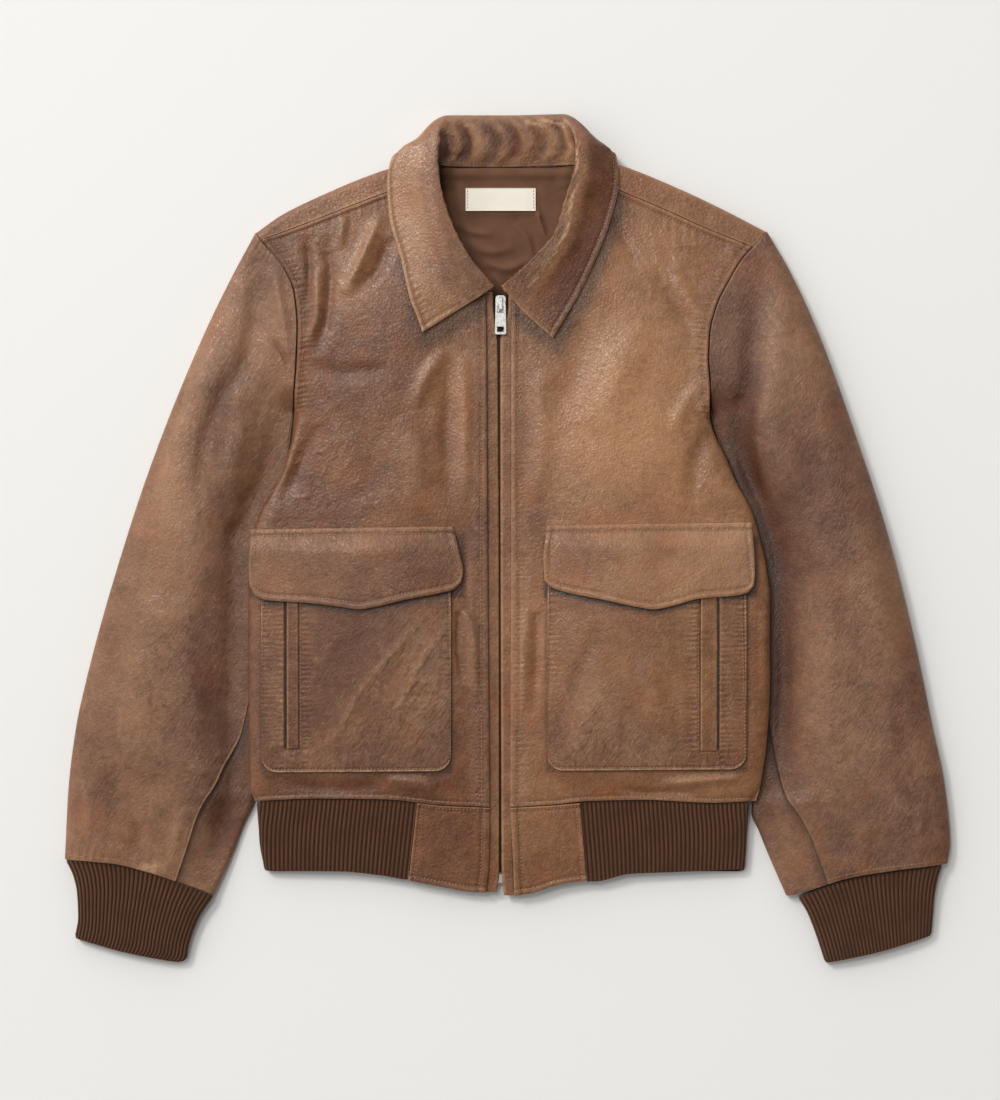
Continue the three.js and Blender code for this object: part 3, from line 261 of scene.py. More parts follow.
for side in SIDES:
    arm_x, arm_y = side.body_edge[-1]
    above = [(arm_x + side.sign * 42, arm_y + UNDERARM_SPREAD),
             (arm_x + side.sign * 200, arm_y + 5 * UNDERARM_SPREAD)]
    side.edge_x = table([(y, x) for x, y in side.body_edge + above])
    side.front_x = table(side.front_edge)
    side.guard_x = table(side.guard_edge)

# ---- creases: points in plan, half width and height; a ridge is above 0 and a trough is below ----
right.front_creases = [
    ([(-179, 272), (-177, 236), (-180, 206)], 4, -1.7),
    ([(-171, 240), (-169, 206), (-180, 172)], 4.5, 1.6),
    ([(-163, 272), (-158, 236), (-161, 198), (-172, 164)], 6, -1.9),
    ([(-112, 292), (-128, 254), (-145, 218)], 6, 2.3),
    ([(-104, 272), (-115, 243), (-134, 222)], 7, -2.0),
    ([(-146, 292), (-149, 258)], 4, 1.2),
    ([(-55, 170), (-76, 136), (-81, 116)], 7, 1.3),
    ([(-38, 168), (-36, 100), (-38, 26)], 9, 1.3),
    ([(-52, 160), (-54, 80), (-52, 30)], 8, -0.9),
    ([(-173, 102), (-188, 58), (-204, 28)], 8, -1.6),
    ([(-184, 108), (-196, 66), (-214, 32)], 4, 1.2),
    ([(-185, 158), (-150, 148), (-105, 152)], 9, -0.9),
    ([(-150, 120), (-120, 70), (-118, 30)], 16, -1.0),
    ([(-95, 110), (-80, 62), (-84, 24)], 12, 1.0),
    ([(-31, -12), (-36, -58), (-30, -86), (-28, -150)], 5, 1.7),
    ([(-41, -42), (-44, -94), (-38, -131)], 4, -1.3),
    ([(-106, -217), (-84, -219), (-62, -224)], 6, 1.4),
    ([(-200, -221), (-150, -225), (-110, -222)], 7, -0.8)]
left.front_creases = [
    ([(146, 246), (168, 210), (180, 186)], 7, 1.1),
    ([(134, 236), (158, 200), (172, 172)], 8, -1.3),
    ([(182, 142), (163, 124), (150, 94)], 8, 1.1),
    ([(184, 100), (172, 74), (167, 32)], 10, -1.3),
    ([(120, 196), (101, 144), (84, 94)], 20, 1.5),
    ([(70, 196), (62, 150), (48, 100)], 16, -1.1),
    ([(14, 180), (18, 120), (14, 40)], 8, -0.7),
    ([(30, 150), (32, 90), (28, 30)], 10, 0.8),
    ([(96, 288), (110, 262), (118, 244)], 8, -0.9),
    ([(17, -62), (15, -110), (13, -172)], 5, 1.3),
    ([(27, -40), (27, -100), (24, -160)], 5, -1.1),
    ([(140, -221), (178, -218), (210, -216)], 5, 1.6),
    ([(96, -224), (130, -229), (176, -228)], 5, -1.0),
    ([(227, -20), (231, -70), (232, -150)], 4, 0.7)]
right.sleeve_creases = [
    ([(-222, 252), (-226, 201), (-232, 160), (-259, 118), (-273, 56), (-269, -6)], 12, -2.5),
    ([(-210, 246), (-199, 188), (-195, 162)], 6, 1.5),
    ([(-214, 180), (-203, 170), (-194, 154)], 2.5, -1.3),
    ([(-262, 176), (-286, 106), (-302, 44), (-311, -6)], 18, 2.0),
    ([(-266, -36), (-277, -98), (-266, -138), (-256, -196)], 16, -1.2),
    ([(-305, -48), (-322, -122), (-322, -220)], 22, 1.4),
    ([(-357, -205), (-352, -246), (-356, -276)], 9, -0.8),
    ([(-376, -214), (-374, -270)], 7, 0.9),
    ([(-236, 110), (-246, 60), (-244, 10)], 11, 1.5),
    ([(-250, -214), (-254, -252), (-266, -296)], 9, -1.0),
    ([(-288, -240), (-296, -272), (-300, -298)], 7, 1.0),
    ([(-330, -254), (-334, -290)], 7, -0.8)]
left.sleeve_creases = [
    ([(226, 232), (221, 155), (212, 101), (222, 46), (241, -41)], 12, -2.1),
    ([(248, 228), (243, 155), (233, 90), (245, 35)], 14, 1.6),
    ([(262, 150), (272, 68), (286, -10)], 16, -1.1),
    ([(247, -50), (245, -168), (248, -210)], 13, -1.9),
    ([(284, -70), (297, -168), (303, -240)], 22, 1.3),
    ([(345, -130), (356, -180), (363, -240)], 16, -1.0),
    ([(320, -20), (338, -90), (352, -150)], 16, 1.0),
    ([(240, -226), (250, -262), (262, -300)], 9, 0.9),
    ([(330, -262), (334, -296)], 8, -0.8),
    ([(370, -240), (376, -284)], 7, 0.9)]
right.pocket_creases = [
    ([(-52, -78), (-74, -108), (-92, -145), (-109, -182)], 4, 1.4),
    ([(-66, -64), (-101, -103), (-129, -136), (-157, -182), (-184, -197)], 4.5, 1.2),
    ([(-80, -92), (-111, -140), (-121, -176)], 7, -1.3),
    ([(-60, -120), (-76, -160), (-84, -196)], 6, 0.9),
    ([(-150, -84), (-168, -112), (-176, -140)], 7, 0.7),
    ([(-205, -190), (-196, -198), (-184, -202)], 3, 0.9)]
left.pocket_creases = [
    ([(94, -122), (66, -170), (58, -200)], 10, 1.5),
    ([(84, -80), (48, -160)], 9, -1.3),
    ([(123, -108), (138, -176)], 12, 1.0),
    ([(106, -150), (104, -200)], 8, -0.9),
    ([(158, -120), (160, -190)], 7, 0.6),
    ([(204, -100), (203, -180)], 6, 0.6)]


# ---- soft relief ----
def near_line(x, y, line, reach):
    """Distance in plan from each point to a line of segments, and how far along the line its nearest
    place is. Points more than reach outside the line's box keep a distance of reach."""
    line = np.asarray(line, float)
    best = np.full(x.shape, float(reach))
    along = np.zeros(x.shape)
    low, high = line.min(0) - reach, line.max(0) + reach
    close = (x > low[0]) & (x < high[0]) & (y > low[1]) & (y < high[1])
    px, py, near, place = x[close], y[close], best[close], along[close]
    start = 0.0
    for (ax, ay), (bx, by) in zip(line[:-1], line[1:]):
        length = float(np.hypot(bx - ax, by - ay))
        t = np.clip(((px - ax) * (bx - ax) + (py - ay) * (by - ay)) / length ** 2, 0, 1)
        d = np.hypot(px - ax - t * (bx - ax), py - ay - t * (by - ay))
        closer = d < near
        near = np.where(closer, d, near)
        place = np.where(closer, start + t * length, place)
        start += length
    best[close], along[close] = near, place
    return best, along, start


def creases(x, y, marks):
    """Soft ridges and troughs: height times exp(-(d / 0.85 half width)²), fading out to both ends."""
    total = np.zeros(x.shape)
    for points, width, height in marks:
        line = track(points)(np.linspace(0, 1, 6 * len(points)))
        d, along, length = near_line(x, y, line, 3.2 * width)
        total += height * np.exp(-(d / (0.85 * width)) ** 2) * np.maximum(np.sin(np.pi * along / length), 0) ** 0.7
    return total


def soft_noise(x, y, cell, seed):
    """Smooth random heights from -1 to 1: seeded values on a square lattice, eased between corners."""
    size = 128
    values = np.random.default_rng(seed).uniform(-1, 1, (size, size))
    gx, gy = x / cell, y / cell
    ix, iy = np.floor(gx).astype(int), np.floor(gy).astype(int)
    fx, fy = ease(gx - ix), ease(gy - iy)
    ix, iy = ix % size, iy % size
    jx, jy = (ix + 1) % size, (iy + 1) % size
    return mix(mix(values[ix, iy], values[jx, iy], fx), mix(values[ix, jy], values[jx, jy], fx), fy)


def crinkle(x, y, cell, stretch, degrees, seed):
    """Fine sharp wrinkles that run at an angle: one less the size of a noise stretched along that
    angle, cubed, so that narrow ridges stand on flat ground. From 0 to 1."""
    a = np.radians(degrees)
    along, across = x * np.cos(a) + y * np.sin(a), y * np.cos(a) - x * np.sin(a)
    noise = soft_noise(along / stretch, across, cell, seed) + 0.35 * soft_noise(along, across, cell, seed + 1)
    return np.clip(1 - np.abs(noise) * 1.6, 0, 1) ** 3


def puckers(along, distance, depth, reach=7.0, pitch=5.0, seed=0):
    """Gathers square to a line of sewing: waves along it, uneven in size, fading with distance."""
    wander = 1.6 * soft_noise(along, np.zeros_like(along), 13, seed)
    size = 0.55 + 0.45 * soft_noise(along, np.full_like(along, 40.0), 9, seed + 1)
    return depth * size * np.sin(2 * np.pi * along / pitch + 2 * wander) * np.exp(-np.abs(distance) / reach)


def sewn_edge(distance, stitch=TOPSTITCH, roll=0.45, groove=0.55):
    """Height of a turned, topstitched edge: a soft roll half way to the stitches, and a narrow trough
    under them."""
    lift = roll * np.exp(-((distance - 0.45 * stitch) / (0.35 * stitch)) ** 2)
    return lift - groove * np.exp(-((distance - stitch) / 1.0) ** 2)


def stitch_trough_darkening(distance, stitch=TOPSTITCH, wide=0.9):
    """How much darker the trough under a line of stitches is made, as a value below 0."""
    return -0.4 * np.exp(-((distance - stitch) / wide) ** 2)


def cut_edge(distance, radius=CUT_EDGE):
    """How far a surface drops at its cut edge: a quarter circle of the given radius."""
    return radius * (1 - round_off(distance / radius))


def pale_patches(x, y, marks):
    """Broad paler or darker areas (wear, uneven colour and painted light) and soft masks: strength times a
    soft oval, summed. A mark is x, y, half width, half height, strength."""
    total = np.zeros(x.shape)
    for cx, cy, wide, high, strength in marks:
        total += strength * np.exp(-((x - cx) / wide) ** 2 - ((y - cy) / high) ** 2)
    return total


# ---- heights of the body, by side ----
closure_height = table([(-325, 12.6), (-242, 15.2), (-180, 17.6), (-80, 19), (225, 19)])
crown_height = table([(-325, 0), (-242, 0.8), (-150, 3.6), (60, 4.6), (200, 2.6), (300, 0)])
tuck_height = table([(-330, TUCK_HEIGHT), (60, TUCK_HEIGHT), (109, 6.6), (150, 0)])


def in_from_edge(side, x, y):
    return np.maximum(0, side.sign * (side.edge_x(y) - x))


def in_from_shoulder(side, x, y):
    """Distance inward from the straight line over a shoulder."""
    (tip_x, tip_y), (neck_x, neck_y) = side.shoulder_fold[0], side.shoulder_fold[-1]
    length = np.hypot(neck_x - tip_x, neck_y - tip_y)
    return -side.sign * ((x - tip_x) * (neck_y - tip_y) - (y - tip_y) * (neck_x - tip_x)) / length


def by_side(function):
    """Makes a function of (side, x, y) one of (x, y): the right side's up to the zip, then the left's."""
    return lambda x, y: np.where(x < CLOSURE_X, function(right, x, y), function(left, x, y))


@by_side
def full_height(side, x, y):
    """Top of the body before it rounds down at its sides: a crown each side of the zip, which comes
    down to the fold over the shoulders."""
    across = np.clip(np.abs(x - CLOSURE_X) / CROWN_SPAN, 0, 1)
    crown = crown_height(y) * np.sin(np.pi * across) ** 2 - 1.2 * across * across
    rise = ease(in_from_shoulder(side, x, y) / SHOULDER_RISE)
    return mix(SHOULDER_TOP, closure_height(y) + crown, rise)


@by_side
def back_height(side, x, y):
    """Underside of the back panel: on the floor, and eased up over a sleeve's inner edge."""
    return tuck_height(y) * ease(1 - (in_from_edge(side, x, y) - TUCK_FLAT) / TUCK_SLOPE)


@by_side
def body_top(side, x, y):
    """Top surface of the fronts: the full height, rounded down to the side seam."""
    low = tuck_height(y) + LEATHER + SEAM
    return mix(low, full_height(x, y), round_off(in_from_edge(side, x, y) / SIDE_ROUND))


# ---- meshes ----
def normals_of(grid, outward="up", closed=False):
    """Unit normals of a grid of points: the cross product of its central differences, turned over if
    most of them point down, or for outward = "round" towards the middle of their own row."""
    down = np.gradient(grid, axis=0)
    if closed:
        across = np.roll(grid, -1, 1) - np.roll(grid, 1, 1)
    else:
        across = np.gradient(grid, axis=1)
    made = np.cross(down, across)
    made /= np.maximum(np.linalg.norm(made, axis=-1, keepdims=True), 1e-9)
    out = grid - grid.mean(axis=1, keepdims=True) if outward == "round" else np.array([0.0, 0.0, 1.0])
    if outward == "down":
        out = -out
    return made if np.sum(made * out) > 0 else -made


def lengths_along(grid, axis):
    """Length along a grid's lines from its first row (axis 0) or column (axis 1) to each point."""
    steps = np.linalg.norm(np.diff(grid, axis=axis), axis=-1)
    total = np.cumsum(steps, axis=axis)
    return np.insert(total, 0, 0, axis=axis)


def borders(grid):
    """Distances on the surface from each point to the first and last column and row."""
    across, down = lengths_along(grid, 1), lengths_along(grid, 0)
    return SimpleNamespace(first=across, last=across[:, -1:] - across,
                           start=down, end=down[-1:] - down)


def wall_faces(rows, columns, kept_rows, kept_columns, closed):
    """Faces of a closed wall: fine quads outside, coarser quads inside on the kept rows and columns,
    and at each open border one face from each inner edge to the run of outer edges beside it."""
    outer = np.arange(rows * columns).reshape(rows, columns)
    inner = rows * columns + np.arange(len(kept_rows) * len(kept_columns)).reshape(
        len(kept_rows), len(kept_columns))

    def quads(index, flip):
        if closed:
            index = np.concatenate([index, index[:, :1]], axis=1)
        faces = np.stack([index[:-1, :-1], index[1:, :-1], index[1:, 1:], index[:-1, 1:]], -1).reshape(-1, 4)
        return faces[:, ::-1] if flip else faces

    faces = quads(outer, False).tolist() + quads(inner, True).tolist()

    def rim(outer_line, inner_line, kept, flip):
        for k in range(len(kept) - 1):
            face = [*outer_line[kept[k]:kept[k + 1] + 1].tolist(), int(inner_line[k + 1]), int(inner_line[k])]
            faces.append(face if flip else face[::-1])

    ring_columns = [*kept_columns, columns] if closed else kept_columns
    wrap = (lambda line: np.append(line, line[0])) if closed else (lambda line: line)
    rim(wrap(outer[0]), wrap(inner[0]), ring_columns, False)
    rim(wrap(outer[-1]), wrap(inner[-1]), ring_columns, True)
    if not closed:
        rim(outer[:, 0], inner[:, 0], kept_rows, True)
        rim(outer[:, -1], inner[:, -1], kept_rows, False)
    return faces


def add_piece(name, points, faces, material, nodes=(), attributes=None, body=JACKET, smooth=True):
    """Makes a mesh object from points in millimetres, faces outward, and rides it on a body."""
    if not np.isfinite(points).all():
        raise ValueError(f"{name} has points that are not numbers")
    mesh = bpy.data.meshes.new(name)
    mesh.from_pydata((np.asarray(points, float) * MM).tolist(), [], faces)
    solid = bmesh.new()
    solid.from_mesh(mesh)
    if solid.calc_volume(signed=True) < 0:
        bmesh.ops.reverse_faces(solid, faces=solid.faces)
    for face in solid.faces:
        face.smooth = smooth
    solid.to_mesh(mesh)
    solid.free()
    for key, values in (attributes or {}).items():
        mesh.attributes.new(key, "FLOAT", "POINT").data.foreach_set("value", np.ravel(values).astype(np.float32))
    mesh.materials.append(material)
    piece = bpy.data.objects.new(name, mesh)
    bpy.context.scene.collection.objects.link(piece)
    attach(piece, body)
    if nodes:
        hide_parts(*nodes)
    return piece


def add_wall(name, outer, inner, material, slot, nodes=(), keep=3, closed=False, **attributes):
    """A closed wall of cloth between its outside and inside grids. The outside takes every point, and
    the inside every keep-th row and column."""
    rows, columns = outer.shape[:2]
    kept_rows = np.unique(np.append(np.arange(0, rows, keep), rows - 1))
    kept_columns = np.arange(0, columns, keep)
    if not closed:
        kept_columns = np.unique(np.append(kept_columns, columns - 1))
    pick = np.ix_(kept_rows, kept_columns)
    points = np.concatenate([outer.reshape(-1, 3), inner[pick].reshape(-1, 3)])
    values = {}
    for key, value in attributes.items():
        full = np.broadcast_to(value, (rows, columns))
        values[key] = np.concatenate([full.ravel(), full[pick].ravel()])
    faces = wall_faces(rows, columns, kept_rows, kept_columns, closed)
    return add_piece(name, points, faces, material, nodes, values)


def add_leather(name, grid, relief, material, slot, nodes, thickness=LEATHER, outward="up", tone=0.0,
                wear=0.0, keep=3, edge_wear=0.2, least=None, crinkled=0.0):
    """A leather piece: its grid moved out along its normals by the relief, less a quarter circle at
    each cut edge, and an inside one thickness below. It is made pale at its edges (wear, and a painted
    highlight on the rounded edge) and on its ridges, and darker in its troughs (painted shade).
    least is the lowest z that its inside may have, and crinkled is how strong its fine lines are."""
    normals = normals_of(grid, outward)
    edges = borders(grid)
    near = np.minimum(np.minimum(edges.first, edges.last), np.minimum(edges.start, edges.end))
    outer = grid + normals * (relief - cut_edge(near))[..., None]
    inner = grid + normals * (relief - thickness)[..., None]
    if least is not None:
        inner[..., 2] = np.maximum(inner[..., 2], least)
        outer[..., 2] = np.maximum(outer[..., 2], inner[..., 2] + 0.3)
    # Pale at the cut edges (wear and painted highlight) and on ridges; the tone is darker in troughs: painted shade.
    rubbed_and_painted_light = edge_wear * np.exp(-(near / 1.1) ** 2) + 0.12 * np.clip(relief / 1.6, 0, 1) + wear
    tone = tone - 0.3 * np.clip(-relief / 1.6, 0, 1)
    piece = add_wall(name, outer, inner, material, slot, nodes, keep, tone=tone, wear=np.clip(rubbed_and_painted_light, -1, 1),
                     crinkle=np.clip(crinkled, 0, 1))
    return piece, outer, normals, edges


# ---- sewing thread ----
SEWN = []                     # every line of stitches: points, normals and pitch


def line_at(grid, normals, distance, stop, across=True):
    """The line on a grid where the distance from one border reaches stop: in each row (or column, if
    not across), the place between two points where it is passed. Returns its points and normals."""
    if not across:
        grid, normals, distance = np.swapaxes(grid, 0, 1), np.swapaxes(normals, 0, 1), distance.T
    rows = np.arange(grid.shape[0])
    if distance[0, 0] > distance[0, -1]:
        grid, normals, distance = grid[:, ::-1], normals[:, ::-1], distance[:, ::-1]
    j = np.clip((distance < stop).sum(1), 1, grid.shape[1] - 1)
    low, high = distance[rows, j - 1], distance[rows, j]
    t = ((stop - low) / np.maximum(high - low, 1e-9))[:, None]
    return mix(grid[rows, j - 1], grid[rows, j], t), mix(normals[rows, j - 1], normals[rows, j], t)


def sew(points, normals=(0, 0, 1), start=0.0, end=0.0, pitch=STITCH_PITCH, lift=0.12):
    """Notes a line of stitches along points, from start after its beginning to end before its last."""
    points = np.asarray(points, float)
    normals = np.broadcast_to(np.asarray(normals, float), points.shape)
    along = np.concatenate([[0], np.cumsum(np.linalg.norm(np.diff(points, axis=0), axis=1))])
    count = int((along[-1] - start - end) // pitch)
    if count < 2:
        return
    places = start + (np.arange(count) + 0.5) * (along[-1] - start - end) / count
    at = lambda values, where: np.stack([np.interp(where, along, values[:, k]) for k in range(3)], -1)
    centre = at(points, places)
    run = at(points, places + 0.6) - at(points, places - 0.6)
    SEWN.append((centre + lift * at(normals, places), run, at(normals, places)))


def add_thread(name, material):
    """All noted stitches as one mesh. Each is a short spindle, rings of five points with radius
    0.34 mm swelling to the middle, on its own frame of run, side and normal."""
    stations = np.array([-1.0, -0.62, 0.0, 0.62, 1.0])
    swell = np.array([0.0, 0.8, 1.0, 0.8, 0.0])
    half_length, wide, high, sides = 1.18, 0.33, 0.3, 5
    turn = np.linspace(0, 2 * np.pi, sides, endpoint=False)
    sink = -0.35 * stations ** 2
    ring = np.stack([np.repeat(stations[1:4] * half_length, sides),
                     np.tile(np.cos(turn), 3) * wide * np.repeat(swell[1:4], sides),
                     np.tile(np.sin(turn), 3) * high * np.repeat(swell[1:4], sides)
                     + np.repeat(sink[1:4], sides)], -1)
    tips = np.array([[-half_length, 0, sink[0]], [half_length, 0, sink[-1]]])
    model = np.concatenate([ring, tips])
    around = np.arange(sides)
    onward = (around + 1) % sides
    sheets = [np.stack([k * sides + around, k * sides + onward, (k + 1) * sides + onward,
                        (k + 1) * sides + around], -1) for k in range(2)]
    quads = np.concatenate(sheets)
    first_cap = np.stack([onward, around, np.full(sides, 3 * sides)], -1)
    last_cap = np.stack([2 * sides + around, 2 * sides + onward, np.full(sides, 3 * sides + 1)], -1)
    centre, run, normal = (np.concatenate(parts) for parts in zip(*SEWN))
    run /= np.linalg.norm(run, axis=1, keepdims=True)
    across = np.cross(normal, run)
    across /= np.linalg.norm(across, axis=1, keepdims=True)
    normal = np.cross(run, across)
    frames = np.stack([run, across, normal], 1)
    points = centre[:, None, :] + model @ frames
    shift = (np.arange(len(centre)) * len(model))[:, None, None]
    faces = [face for group in (quads, first_cap, last_cap) for face in (group + shift).reshape(-1, group.shape[1]).tolist()]
    return add_piece(name, points.reshape(-1, 3), faces, material)


# ---- shader groups ----
def make_group(name, inputs, outputs, build):
    """A shader node group with named sockets. build(nodes, link, source, result) wires its inside."""
    group = bpy.data.node_groups.new(name, "ShaderNodeTree")
    for label, kind, value in inputs:
        socket = group.interface.new_socket(label, in_out="INPUT", socket_type=kind)
        if value is not None:
            socket.default_value = value
    for label, kind in outputs:
        group.interface.new_socket(label, in_out="OUTPUT", socket_type=kind)
    source, result = group.nodes.new("NodeGroupInput"), group.nodes.new("NodeGroupOutput")
    build(group.nodes, group.links.new, source.outputs, result.inputs)
    return group


def math_node(nodes, link, operation, *values):
    """A Math node on sockets or plain numbers; returns its output."""
    node = nodes.new("ShaderNodeMath")
    node.operation = operation
    for socket, value in zip(node.inputs, values):
        if hasattr(value, "is_output"):
            link(value, socket)
        else:
            socket.default_value = value
    return node.outputs[0]


def blend_node(nodes, link, factor, first, second, kind="MIX"):
    """A colour Mix node on sockets or plain values; returns its colour output."""
    node = nodes.new("ShaderNodeMix")
    node.data_type, node.blend_type = "RGBA", kind
    for socket, value in zip((node.inputs[0], node.inputs[6], node.inputs[7]), (factor, first, second)):
        if hasattr(value, "is_output"):
            link(value, socket)
        else:
            socket.default_value = value
    return node.outputs[2]


def noise_node(nodes, link, vector, scale, detail=3.0, roughness=0.55, distortion=0.0):
    node = nodes.new("ShaderNodeTexNoise")
    link(vector, node.inputs["Vector"])
    node.inputs["Scale"].default_value = scale
    node.inputs["Detail"].default_value = detail
    node.inputs["Roughness"].default_value = roughness
    node.inputs["Distortion"].default_value = distortion
    return node.outputs["Fac"]


def spread(nodes, link, value, low, high, to_low=0.0, to_high=1.0):
    """Maps low..high to to_low..to_high, clamped and eased."""
    node = nodes.new("ShaderNodeMapRange")
    node.interpolation_type = "SMOOTHSTEP"
    link(value, node.inputs["Value"])
    for label, number in (("From Min", low), ("From Max", high), ("To Min", to_low), ("To Max", to_high)):
        node.inputs[label].default_value = number
    return node.outputs["Result"]


def build_leather(nodes, link, source, result):
    """Colour: dark and pale brown blended by three sizes of noise and by the piece's own tone (uneven colour
    of the hide, with painted highlights and shade in it), with fine dark wrinkle lines (1 less six times a
    noise's distance from its middle), then made pale where its wear and painted light is above 0 (rubbed
    wear and painted highlights), or darkened to near black where it is below (painted shade, and darker
    stitch troughs). Height: pebbled grain of small cells, the wrinkle lines and finer noise. Pale leather
    is smoother than dark."""
    vector = source["Vector"]
    broad = noise_node(nodes, link, vector, 9, 2, 0.4, 0.2)
    middle = noise_node(nodes, link, vector, 42, 3, 0.5, 0.4)
    small = noise_node(nodes, link, vector, 190, 4, 0.7)
    tiny = noise_node(nodes, link, vector, 900, 2, 0.6)
    lines = noise_node(nodes, link, vector, 250, 4, 0.6, 0.7)
    off_middle = math_node(nodes, link, "ABSOLUTE", math_node(nodes, link, "SUBTRACT", lines, 0.5))
    wrinkle = spread(nodes, link, off_middle, 0.0, 0.07, 1.0, 0.0)
    slanted = nodes.new("ShaderNodeMapping")
    slanted.vector_type = "TEXTURE"
    link(vector, slanted.inputs["Vector"])
    slanted.inputs["Rotation"].default_value = (0, 0, np.radians(56))
    slanted.inputs["Scale"].default_value = (0.014, 0.0015, 0.004)
    lines = noise_node(nodes, link, slanted.outputs[0], 1.0, 3, 0.6, 0.5)
    off_middle = math_node(nodes, link, "ABSOLUTE", math_node(nodes, link, "SUBTRACT", lines, 0.5))
    crinkled = math_node(nodes, link, "MULTIPLY", source["Crinkle"],
                         spread(nodes, link, off_middle, 0.0, 0.08, 1.0, 0.0))
    mottle = math_node(nodes, link, "ADD", math_node(nodes, link, "MULTIPLY", broad, 0.4),
                       math_node(nodes, link, "MULTIPLY", middle, 0.3))
    mottle = math_node(nodes, link, "ADD", mottle, math_node(nodes, link, "MULTIPLY", small, 0.3))
    mottle = math_node(nodes, link, "SUBTRACT", mottle, math_node(nodes, link, "MULTIPLY", wrinkle, 0.05))
    mottle = math_node(nodes, link, "ADD", mottle, math_node(nodes, link, "MULTIPLY", crinkled, 0.16))
    toned = math_node(nodes, link, "ADD", mottle, math_node(nodes, link, "MULTIPLY", source["Tone"], 0.2))
    light = spread(nodes, link, toned, 0.2, 0.9)
    colour = blend_node(nodes, link, light, source["Dark"], source["Pale"])
    warm = spread(nodes, link, noise_node(nodes, link, vector, 23, 3, 0.6, 0.3), 0.46, 0.76, 0.0, 0.4)
    colour = blend_node(nodes, link, warm, colour, source["Warm"])
    speck = spread(nodes, link, tiny, 0.3, 0.7, 0.84, 1.12)
    speck_colour = nodes.new("ShaderNodeCombineColor")
    for k in range(3):
        link(speck, speck_colour.inputs[k])
    colour = blend_node(nodes, link, 1.0, colour, speck_colour.outputs[0], "MULTIPLY")
    # Wear above 0 blends to the pale colour: rubbed wear and painted highlights. Below 0 it blends to near black:
    # painted shade and darker stitch troughs.
    worn = math_node(nodes, link, "MAXIMUM", source["Wear"], 0.0)
    broken = math_node(nodes, link, "MULTIPLY", worn, spread(nodes, link, small, 0.3, 0.62, 0.35, 1.0))
    colour = blend_node(nodes, link, broken, colour, source["Rubbed"])
    grime_and_painted_light = math_node(nodes, link, "MAXIMUM", math_node(nodes, link, "MULTIPLY", source["Wear"], -1.0), 0.0)
    link(blend_node(nodes, link, grime_and_painted_light, colour, (0.012, 0.006, 0.004, 1)), result["Color"])
    link(spread(nodes, link, toned, 0.25, 0.75, 0.4, 0.28), result["Roughness"])
    cells = nodes.new("ShaderNodeTexVoronoi")
    cells.feature = "SMOOTH_F1"
    link(vector, cells.inputs["Vector"])
    link(source["Grain"], cells.inputs["Scale"])
    cells.inputs["Smoothness"].default_value = 0.4
    grain = math_node(nodes, link, "MULTIPLY", cells.outputs["Distance"], -0.6)
    for value, weight in ((small, 0.25), (tiny, 0.12), (wrinkle, -0.2), (crinkled, 1.3)):
        grain = math_node(nodes, link, "ADD", grain, math_node(nodes, link, "MULTIPLY", value, weight))
    link(grain, result["Height"])


LEATHER_GROUP = make_group(
    "worn_leather_finish",
    [("Vector", "NodeSocketVector", None), ("Dark", "NodeSocketColor", (0.1, 0.05, 0.03, 1)),
     ("Pale", "NodeSocketColor", (0.3, 0.2, 0.1, 1)), ("Warm", "NodeSocketColor", (0.3, 0.15, 0.08, 1)),
     ("Rubbed", "NodeSocketColor", (0.5, 0.35, 0.25, 1)), ("Tone", "NodeSocketFloat", 0.0),
     ("Wear", "NodeSocketFloat", 0.0), ("Crinkle", "NodeSocketFloat", 0.0), ("Grain", "NodeSocketFloat", 620.0)],
    [("Color", "NodeSocketColor"), ("Roughness", "NodeSocketFloat"), ("Height", "NodeSocketFloat")],
    build_leather)


def build_weave(nodes, link, source, result):
    """Crossed threads: the larger of two sets of sine bands at right angles, a soft mottle, and painted
    shade, darkening towards near black where shade is above 0."""
    heights = []
    for direction in ("X", "Y"):
        wave = nodes.new("ShaderNodeTexWave")
        wave.bands_direction = direction
        link(source["Vector"], wave.inputs["Vector"])
        link(source["Threads"], wave.inputs["Scale"])
        wave.inputs["Distortion"].default_value = 0.4
        heights.append(wave.outputs["Fac"])
    height = math_node(nodes, link, "MAXIMUM", *heights)
    link(height, result["Height"])
    soft = noise_node(nodes, link, source["Vector"], 60, 3)
    shade = spread(nodes, link, soft, 0.3, 0.7, 0.0, 0.5)
    colour = blend_node(nodes, link, shade, source["Light"], source["Dark"])
    link(blend_node(nodes, link, source["Shade"], colour, (0.008, 0.004, 0.003, 1)), result["Color"])


WEAVE_GROUP = make_group(
    "woven_cloth_finish",
    [("Vector", "NodeSocketVector", None), ("Light", "NodeSocketColor", (0.5, 0.4, 0.3, 1)),
     ("Dark", "NodeSocketColor", (0.3, 0.2, 0.1, 1)), ("Threads", "NodeSocketFloat", 300.0),
     ("Shade", "NodeSocketFloat", 0.0)],
    [("Color", "NodeSocketColor"), ("Height", "NodeSocketFloat")],
    build_weave)


# ---- materials ----
def srgb(red, green, blue):
    """A colour given as it looks on a screen, from 0 to 255, as linear light."""
    c = np.array([red, green, blue]) / 255
    linear = np.where(c <= 0.04045, c / 12.92, ((c + 0.055) / 1.055) ** 2.4)
    return (*linear.tolist(), 1.0)


def new_material(name, metallic=0.0, roughness=0.5):
    """A material with one Principled shader; returns it with its nodes, link function and shader."""
    material = bpy.data.materials.new(name)
    material.use_nodes = True
    nodes, links = material.node_tree.nodes, material.node_tree.links
    shader = nodes["Principled BSDF"]
    shader.inputs["Metallic"].default_value = metallic
    shader.inputs["Roughness"].default_value = roughness
    return material, nodes, links.new, shader


